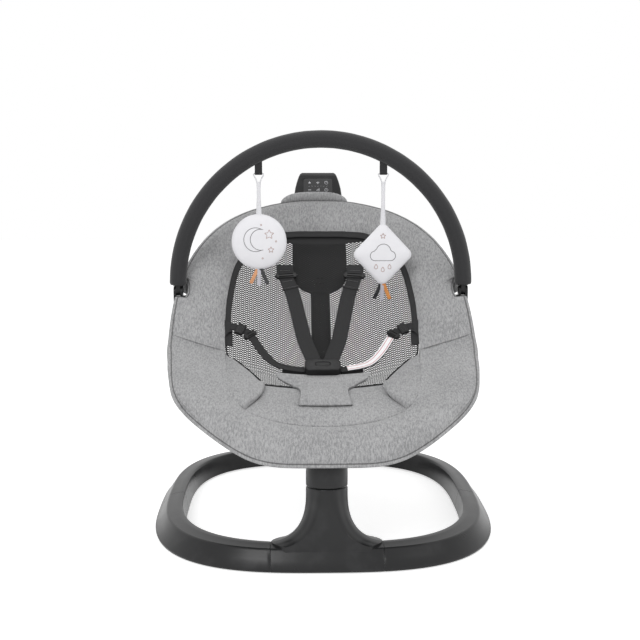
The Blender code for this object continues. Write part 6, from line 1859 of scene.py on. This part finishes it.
class SWING_OT_harness(bpy.types.Operator):
    """Lay the webbing and its sliders and clips"""

    bl_idname = "swing.harness"
    bl_label = "Harness"

    def execute(self, context):
        black = "black_fitting_plastic"
        woven = "black_webbing"
        middle = moved(0, 0, WEB_THICKNESS / 2)
        for side, word in SIDES:
            shoulder = web_frames(seat_route(SHOULDER_ROUTE, side, 73, slot_tail(side, "shoulder")))
            waist = waist_frames(side)
            strap = web("shoulder_web_" + word, shoulder, SHOULDER_WEB_WIDTH, 0.0, SHOULDER_PAD_WIDTH)
            finished(strap, "seat", woven, "shoulder_strap_" + word, 50)
            finished(web("waist_web_" + word, waist, WAIST_WEB_WIDTH), "seat", woven,
                     "waist_strap_" + word, 50)
            slider = ladder_slider("shoulder_slider_" + word, SHOULDER_PAD_WIDTH - 0.002, 0.0125, 0.0056)
            place(slider, shoulder[SLIDER_AT] @ middle)
            keeper = box("keeper", (SHOULDER_WEB_WIDTH + 0.0050, 0.0042, 0.0046), 0.0012)
            cut(keeper, box("passage", (SHOULDER_WEB_WIDTH + 0.0010, 0.02, WEB_THICKNESS + 0.0010)))
            place(keeper, shoulder[KEEPER_AT] @ middle)
            finished(joined("shoulder_slider_" + word, [slider, keeper]), "seat", black,
                     "shoulder_adjuster_" + word, 35)
            finished(self.clip(word, waist, middle), "seat", black, "waist_clip_" + word, 35)
            finished(self.side_loop(word, side), "seat", woven)
            for k, at in enumerate(STITCHES_AT):
                row = [shoulder[at] @ Vector((a, 0, WEB_THICKNESS + 0.0002))
                       for a in (-0.0095 + 0.019 * j / 10 for j in range(11))]
                finished(stitches(f"shoulder_stitching_{word}_{k}", row, 0.0024), "seat",
                         "grey_stitching")
        band = web_frames(seat_route(BAND_ROUTE, 1, 41))
        finished(web("crotch_band", band, BAND_WIDTH), "seat", woven, "crotch_strap", 50)
        striped = web("striped_strap", waist_frames(1)[STRIPED_AT], 0.0142, WEB_THICKNESS + 0.0003)
        finished(striped, "seat", "striped_white_webbing")
        self.buckle(black)
        return {"FINISHED"}

    def clip(self, word, waist, middle):
        """A side-release clip and, nearer the buckle, its adjuster."""
        edge = settings("swing_mouldings").key_edge
        size = (WAIST_WEB_WIDTH + 0.0080, 0.0150, 0.0070)
        clip = box("waist_fitting_" + word, size, edge * 1.3)
        for shift in (-0.0026, 0.0026):
            groove = box("groove", (size[0] * 0.72, 0.0009, 0.0016))
            cut(clip, place(groove, moved(0, shift, size[2] / 2)))
        for end in (-1, 1):
            cut(clip, place(rod("notch", 0.0026, 0.02, 24), moved(end * (size[0] / 2 + 0.0014), 0, 0)))
        cut(clip, box("passage", (WAIST_WEB_WIDTH + 0.0012, 0.05, WEB_THICKNESS + 0.0012)))
        place(clip, waist[CLIP_AT] @ middle)
        adjuster = ladder_slider("adjuster", WAIST_WEB_WIDTH, 0.0105, 0.0058)
        place(adjuster, waist[ADJUSTER_AT] @ middle)
        return joined("waist_fitting_" + word, [clip, adjuster])

    def side_loop(self, word, side):
        """Black tape from the net's binding to the clip, narrowing on its way."""
        sections = []
        for k in range(17):
            share = k / 16
            x = lerp(0.1755, 0.1575, share)
            y = lerp(0.0085, 0.0140, share)
            half = lerp(0.0165, WAIST_WEB_WIDTH / 2, smoothstep(0.0, 0.85, share))
            lift = lerp(0.0022, 0.0052, smoothstep(0.0, 0.7, share))
            section = []
            for a, b in rounded_rectangle(2 * half, 0.0018, 0.0008, 2):
                section.append(seat_point(side * x, y + a, lift + b - 0.0002))
            sections.append(section)
        return skin("side_loop_" + word, sections)

    def buckle(self, black):
        """The buckle's body and its oval press button."""
        width, length, height = BUCKLE_SIZE
        placement = buckle_frame(height / 2)
        body = block("buckle", BUCKLE_SIZE, BUCKLE_CORNER, 8)
        inset_face(body, 1, 0.0032, lift=0.0009)
        inset_face(body, -1, 0.0020)
        eased(body, 0.0016, 4)
        well_size = (KEY_SIZE[0] + 2 * KEY_PLAY, KEY_SIZE[1] + 2 * KEY_PLAY, 2 * WELL_DEPTH)
        well = block("well", well_size, KEY_CORNER + KEY_PLAY, 10)
        cut(body, place(well, moved(0, 0, height / 2)))
        slot_height = WEB_THICKNESS + 0.0014
        for side in (-1, 1):
            waist = box("slot", (2 * SLOT_DEPTH + 0.003, WAIST_WEB_WIDTH + 0.0014, slot_height))
            cut(body, place(waist, moved(side * width / 2, WAIST_SLOT_Y, SLOT_LIFT)))
            shoulder = box("slot", (SHOULDER_WEB_WIDTH + 0.0014, 2 * SLOT_DEPTH + 0.004, slot_height))
            cut(body, place(shoulder, moved(side * SHOULDER_SLOT_X, length / 2, SLOT_LIFT)))
        mark = box("mark", (0.0008, 0.0052, 0.0012))
        cut(body, place(mark, moved(0, 0.0108, height / 2 + 0.0009)))
        finished(place(body, placement), "seat", black, "harness_buckle", 35)
        key = block("press_button", KEY_SIZE, KEY_CORNER, 10)
        inset_face(key, 1, 0.0014, lift=0.0006)
        eased(key, 0.0005, 3)
        place(key, placement @ moved(0, 0, height / 2 + 0.0006 - KEY_SIZE[2] / 2))
        finished(key, "release_key", black, "buckle_button", 35)


# Toy bar and toys

def bar_line(steps=240):
    angles = [pi * k / steps for k in range(steps + 1)]
    return [Vector((BAR_RADIUS * cos(a), BAR_Y, BAR_CENTRE_Z + BAR_RADIUS * sin(a))) for a in angles]


def bar_underside():
    """Height of the sleeve's underside over a toy."""
    return BAR_CENTRE_Z + sqrt((BAR_RADIUS - SLEEVE_RADIUS) ** 2 - TOY_X ** 2)


class SWING_OT_toy_bar(bpy.types.Operator):
    """Model the bow's padded sleeve and the two hanger loops"""

    bl_idname = "swing.toy_bar"
    bl_label = "Toy Bar"

    def execute(self, context):
        sections = []
        frames = path_frames(bar_line(), Vector((0, 1, 0)))
        last = len(frames) - 1
        for k, station in enumerate(frames):
            from_end = min(k, last - k) * pi * BAR_RADIUS / last
            radius = SLEEVE_RADIUS - 0.0016 * max(0.0, 1 - from_end / 0.004) ** 2
            gather = 0.0005 * max(0.0, 1 - from_end / 0.03) + 0.00022
            section = []
            for j in range(40):
                turn = 2 * pi * j / 40
                wave = noise_at(k * 0.19, cos(turn) * 1.3, sin(turn) * 1.3)
                seam = -0.0007 * max(0.0, 1 - abs(turn - pi) / 0.22)
                size = radius + gather * wave + seam
                section.append(station @ Vector((size * cos(turn), size * sin(turn), 0)))
            sections.append(section)
        first, end = [[at @ Vector((a, b, 0)) for a, b in circle(SLEEVE_BORE, 40)]
                      for at in (frames[0], frames[-1])]
        sleeve = skin("bar_sleeve", [first, *sections, end])
        finished(sleeve, "toy_bar", "black_sleeve_fabric", "toy_bar_sleeve", 60)
        carry_over("black_fitting_plastic", "toy_bar_rod", "toy_bar_end_right", "toy_bar_end_left")
        for side, word in SIDES:
            finished(self.hanger(word, side), "toy_bar", "black_webbing", "hanger_tab_" + word, 50)
        return {"FINISHED"}

    def hanger(self, word, side):
        """A folded tape loop under the sleeve, its upper edges following the sleeve's slope."""
        fold, thick = 0.0036, 0.0012
        slope = -TOY_X / sqrt((BAR_RADIUS - SLEEVE_RADIUS) ** 2 - TOY_X ** 2)
        bottom = bar_underside() - TAB_DROP + fold
        sections = []
        for k in range(13):
            dx = TAB_WIDTH * (-0.5 + k / 12)
            rim = 0.00025 if k in (0, 12) else 0.0
            edge = bar_underside() + slope * dx + 0.0012
            outer, inner = fold - rim, fold - thick + rim
            line = [(BAR_Y - outer, edge)]
            line += [(BAR_Y + outer * cos(pi + pi * j / 16), bottom + outer * sin(pi + pi * j / 16))
                     for j in range(17)]
            line += [(BAR_Y + outer, edge), (BAR_Y + inner, edge)]
            line += [(BAR_Y + inner * cos(2 * pi - pi * j / 16), bottom + inner * sin(2 * pi - pi * j / 16))
                     for j in range(17)]
            line.append((BAR_Y - inner, edge))
            sections.append([Vector((side * (TOY_X + dx), y, z)) for y, z in line])
        return skin("hanger_loop_" + word, sections)


def toy_pivot_z():
    return bar_underside() - TAB_DROP + 0.0012 + CORD_RADIUS + 0.0008


def rounded_diamond(half_width, half_height, radius, steps=10):
    """Counter-clockwise diamond with rounded corners."""
    corners = [Vector((half_width, 0)), Vector((0, half_height)), Vector((-half_width, 0)),
               Vector((0, -half_height))]
    points = []
    for k, corner in enumerate(corners):
        before = (corners[k - 1] - corner).normalized()
        after = (corners[(k + 1) % 4] - corner).normalized()
        half_angle = before.angle(after) / 2
        centre = corner + (before + after).normalized() * (radius / sin(half_angle))
        start = corner + before * (radius / tan(half_angle)) - centre
        for j in range(steps + 1):
            points.append(centre + Matrix.Rotation((pi - 2 * half_angle) * j / steps, 2) @ start)
    return points


def even_outline(points, count):
    """The same closed outline with count points at equal distances."""
    return spaced(list(points) + [points[0]], count + 1)[:-1]


def dome(share):
    """Half thickness of a stuffed toy at a share of the way from its middle to its edge."""
    return TOY_THICKNESS / 2 * (0.10 + 0.90 * max(0.0, 1 - share ** 3) ** 0.6)


def stuffed_shape(name, outline, centre):
    """A flat stuffed toy from its outline in X and Z, with small gathers at its edge seam."""
    shares = [1.0, 0.985, 0.96, 0.92, 0.86, 0.78, 0.68, 0.56, 0.42, 0.28, 0.14, 0.05]
    profile = [(share, -1) for share in reversed(shares)] + [(share, 1) for share in shares]
    sections = []
    for share, way in profile:
        section = []
        for a, b in outline:
            gather = noise_at(a * 260, b * 260, way * 3.0)
            edge = max(0.0, 1 - abs(share - 0.93) / 0.12)
            thick = dome(share) + 0.00055 * gather * edge
            section.append(centre + Vector((a * share, way * thick, b * share)))
        sections.append(section)
    return skin(name, sections)


def drawn_line(points, centre, outline_share):
    """A printed line raised a hair over the toy's front."""
    path = [centre + Vector((a, -dome(min(1.0, outline_share(a, b))) - 0.00002, b)) for a, b in points]
    return tube("line", path, PRINTED_LINE_RADIUS, False, 2)


def star(a, b, size):
    points = [(a + size * (1 if k % 2 == 0 else 0.48) * sin(2 * pi * k / 10),
               b + size * (1 if k % 2 == 0 else 0.48) * cos(2 * pi * k / 10)) for k in range(11)]
    return [(x0 + (x1 - x0) * j / 4, y0 + (y1 - y0) * j / 4)
            for (x0, y0), (x1, y1) in zip(points, points[1:]) for j in range(4)] + [points[-1]]


def drop(a, b, size):
    return [(a + size * 0.42 * sin(t) * sin(t / 2), b + size * 0.5 * cos(t))
            for t in (2 * pi * k / 24 for k in range(25))]


class SWING_OT_toys(bpy.types.Operator):
    """Sew the two hanging toys with their cords and ribbons"""

    bl_idname = "swing.toys"
    bl_label = "Hanging Toys"

    def execute(self, context):
        disc = [Vector(p) for p in circle(ROUND_PAD_RADIUS, 120)]
        diamond = even_outline(rounded_diamond(DIAMOND_HALF_WIDTH, DIAMOND_HALF_HEIGHT, DIAMOND_CORNER), 120)
        moon = arc(-0.006, 0.004, 0.021, 62, 298) + arc(0.0030, 0.004, 0.0185, 286, 74)
        moon.append(moon[0])
        disc_lines = [moon, star(0.018, 0.013, 0.0085), star(0.021, -0.014, 0.0055)]
        disc_lines += [arc(a, b, 0.0012, 0, 360, 12)
                       for a, b in ((0.004, 0.030), (0.030, 0.001), (0.006, -0.029))]
        cloud = arc(-0.014, -0.002, 0.0085, 100, 270) + arc(0.0, 0.0, 0.0105, -90, -90, 1)
        cloud += arc(0.014, -0.002, 0.0085, -90, 80) + arc(0.001, 0.006, 0.0130, 12, 158)
        cloud.append(cloud[0])
        drops = [drop(a, b, 0.0085) for a, b in ((-0.012, -0.021), (0.0, -0.026), (0.012, -0.021))]
        diamond_lines = [cloud] + drops + [star(0.0, 0.033, 0.0050)]
        self.toy("round", "toy_round", -TOY_X, ROUND_PAD_Z, disc, disc_lines,
                 lambda a, b: hypot(a, b) / ROUND_PAD_RADIUS,
                 ((26, "peach_ribbon"), (2, "pale_ribbon"), (-24, "dark_grey_ribbon")))
        self.toy("diamond", "toy_diamond", TOY_X, DIAMOND_Z, diamond, diamond_lines,
                 lambda a, b: abs(a) / DIAMOND_HALF_WIDTH + abs(b) / DIAMOND_HALF_HEIGHT,
                 ((24, "black_ribbon"), (1, "lavender_ribbon"), (-22, "orange_ribbon")))
        return {"FINISHED"}

    def toy(self, word, body, x, z, outline, lines, share_at, ribbons):
        centre = Vector((x, BAR_Y, z))
        pad = stuffed_shape(word + "_toy", outline, centre)
        finished(pad, body, "white_toy_fabric", f"toy_{word}_pad", 60)
        seam = [centre + Vector((a * 1.002, 0, b * 1.002)) for a, b in outline]
        finished(tube(word + "_toy_seam", seam, 0.0007, True, 2), body, "white_toy_fabric")
        for number, (points, colour) in enumerate(zip((lines[:1], lines[1:]),
                                                      ("printed_grey_line", "printed_warm_line"))):
            drawn = [drawn_line(line, centre, share_at) for line in points]
            finished(joined(f"{word}_print_{number}", drawn), body, colour)
        top = max(b for a, b in outline)
        self.cord(word, body, x, z + top)
        low = min(b for a, b in outline)
        for number, (angle, colour) in enumerate(ribbons):
            root = moved(*(centre + Vector((0, 0, low + 0.006)))) @ Matrix.Rotation(radians(angle), 4, "Y")
            strip = self.ribbon(f"{word}_ribbon_{number}", root, number)
            finished(strip, body, colour)

    def ribbon(self, name, root, number):
        """A folded ribbon that curls a little on its way down."""
        sections = []
        for k in range(19):
            share = k / 18
            down = -RIBBON_LENGTH * share
            curl = 0.0011 * sin(2.4 * share * pi + number * 1.9) * share
            gap = 0.0006 + 0.0009 * sin(pi * share)
            width = RIBBON_WIDTH * (1.0 - 0.12 * smoothstep(0.92, 1.0, share))
            outline = rounded_rectangle(width, gap, gap * 0.45, 2)
            sections.append([root @ Vector((a, b + curl, down)) for a, b in outline])
        return skin(name, sections)

    def cord(self, word, body, x, pad_top):
        """White cord from the toy's edge up through the hanger loop and down again."""
        top = toy_pivot_z()
        half = TAB_WIDTH / 2 + 0.0017
        low = pad_top + 0.0008
        right = [(0.0018, low), (0.0022, low + 0.010), (0.0024, top - 0.024), (0.0040, top - 0.0120),
                 (half, top - 0.0042), (half, top - 0.0016), (half - 0.0030, top)]
        points = [(-a, z) for a, z in right] + [(a, z) for a, z in right[::-1]]
        path = smooth_through([Vector((x + a, BAR_Y, z)) for a, z in points], 5)
        loop = tube(f"{word}_toy_cord_loop", path, CORD_RADIUS, False, 4)
        finished(loop, body, "white_cord", f"toy_{word}_cord")
        sections = []
        high = top - 0.0150
        for k in range(25):
            share = k / 24
            width = lerp(0.0098, 0.0066, smoothstep(0.05, 0.6, share)) - 0.0012 * smoothstep(0.85, 1.0, share)
            curl = 0.0006 * sin(5.0 * share)
            z = lerp(pad_top - 0.0040, high, share)
            sections.append([Vector((x + a, BAR_Y + b + curl, z))
                             for a, b in rounded_rectangle(width, 0.0026, 0.0011, 3)])
        finished(skin(f"{word}_toy_tape", sections), body, "white_cord", smooth_angle=50)


# Studio

class SWING_OT_studio(bpy.types.Operator):
    """Set up the camera, the pale floor and plain soft light"""

    bl_idname = "swing.studio"
    bl_label = "Studio"

    def execute(self, context):
        studio = settings("swing_studio")
        scene = context.scene
        scene.view_settings.view_transform = "Standard"
        data = bpy.data.cameras.new("camera")
        data.lens = CAMERA_LENS
        data.sensor_width = 36.0
        data.shift_x, data.shift_y = CAMERA_SHIFT
        camera = new_object("camera", data)
        level = studio.distance * cos(studio.elevation)
        away = Vector((level * sin(studio.azimuth), -level * cos(studio.azimuth),
                       studio.distance * sin(studio.elevation)))
        camera.location = Vector(CAMERA_TARGET) + away
        camera.rotation_euler = (-away).to_track_quat("-Z", "Y").to_euler()
        scene.camera = camera
        deselect()
        bpy.ops.mesh.primitive_plane_add(size=14.0)
        floor = named("studio_floor")
        floor.data.materials.append(self.floor_finish())
        self.light("key", (-1.2, -2.5, 2.0), 1.3, studio.key_power * 1.4)
        self.light("fill", (2.1, -1.9, 1.3), 1.4, studio.key_power * 0.45)
        self.light("top", (0.2, 0.3, 2.8), 1.6, studio.key_power * 0.40)
        self.world(scene, studio.room_light)
        return {"FINISHED"}

    def seen(self, tree):
        """1 for what the camera sees, straight, mirrored or through something clear."""
        rays = tree.nodes.new("ShaderNodeLightPath").outputs
        total = maths(tree, "ADD", rays["Is Camera Ray"], rays["Is Glossy Ray"])
        total = maths(tree, "ADD", total, rays["Is Transmission Ray"])
        return maths(tree, "MINIMUM", total, 1.0)

    def floor_finish(self):
        tree, shader, _ = new_finish("pale_floor", Roughness=0.9, Specular_IOR_Level=0.0,
                                     Base_Color=(0.80, 0.80, 0.80, 1), Emission_Color=(1, 1, 1, 1))
        tree.links.new(maths(tree, "MULTIPLY", self.seen(tree), FLOOR_GLOW), shader["Emission Strength"])
        return FINISHES["pale_floor"]

    def light(self, name, at, size, power):
        data = bpy.data.lights.new(name, "AREA")
        data.size = size
        data.energy = power
        lamp = new_object(name, data)
        lamp.location = at
        lamp.rotation_euler = (Vector((0, 0, 0.3)) - Vector(at)).to_track_quat("-Z", "Y").to_euler()

    def world(self, scene, strength):
        world = bpy.data.worlds.new("studio")
        world.use_nodes = True
        tree = world.node_tree
        seen = self.seen(tree)
        background = tree.nodes["Background"]
        background.inputs["Color"].default_value = (1, 1, 1, 1)
        level = maths(tree, "ADD", maths(tree, "MULTIPLY", seen, 1.0 - strength), strength)
        tree.links.new(level, background.inputs["Strength"])
        scene.world = world


# Panel and making

OPERATORS = (SWING_OT_floor_ring, SWING_OT_collar, SWING_OT_arm_and_frame, SWING_OT_control_pod,
             SWING_OT_cover, SWING_OT_net, SWING_OT_flap_and_pillow, SWING_OT_harness, SWING_OT_toy_bar,
             SWING_OT_toys, SWING_OT_studio)


class SWING_PT_panel(bpy.types.Panel):
    """Everything that makes up the swing, in the order of making"""

    bl_idname = "SWING_PT_panel"
    bl_label = "Baby Swing"
    bl_space_type = "VIEW_3D"
    bl_region_type = "UI"
    bl_category = "Baby Swing"

    def draw(self, context):
        for group, kind in GROUPS.items():
            column = self.layout.column(align=True)
            for key in kind.__annotations__:
                column.prop(getattr(context.scene, group), key)
        for operator in OPERATORS:
            self.layout.operator(operator.bl_idname)


CLASSES = tuple(GROUPS.values()) + OPERATORS + (SWING_PT_panel,)


def register():
    for each in CLASSES:
        bpy.utils.register_class(each)
    for group, kind in GROUPS.items():
        setattr(bpy.types.Scene, group, PointerProperty(type=kind))


def unregister():
    for group in GROUPS:
        delattr(bpy.types.Scene, group)
    for each in reversed(CLASSES):
        bpy.utils.unregister_class(each)


def main():
    register()
    make_finishes()
    bpy.ops.swing.studio()
    bpy.ops.swing.floor_ring()
    bpy.ops.swing.collar()
    bpy.ops.swing.arm_and_frame()
    bpy.ops.swing.control_pod()
    bpy.ops.swing.cover()
    bpy.ops.swing.net()
    bpy.ops.swing.flap_and_pillow()
    bpy.ops.swing.harness()
    bpy.ops.swing.toy_bar()
    bpy.ops.swing.toys()


if __name__ == "__main__":
    main()
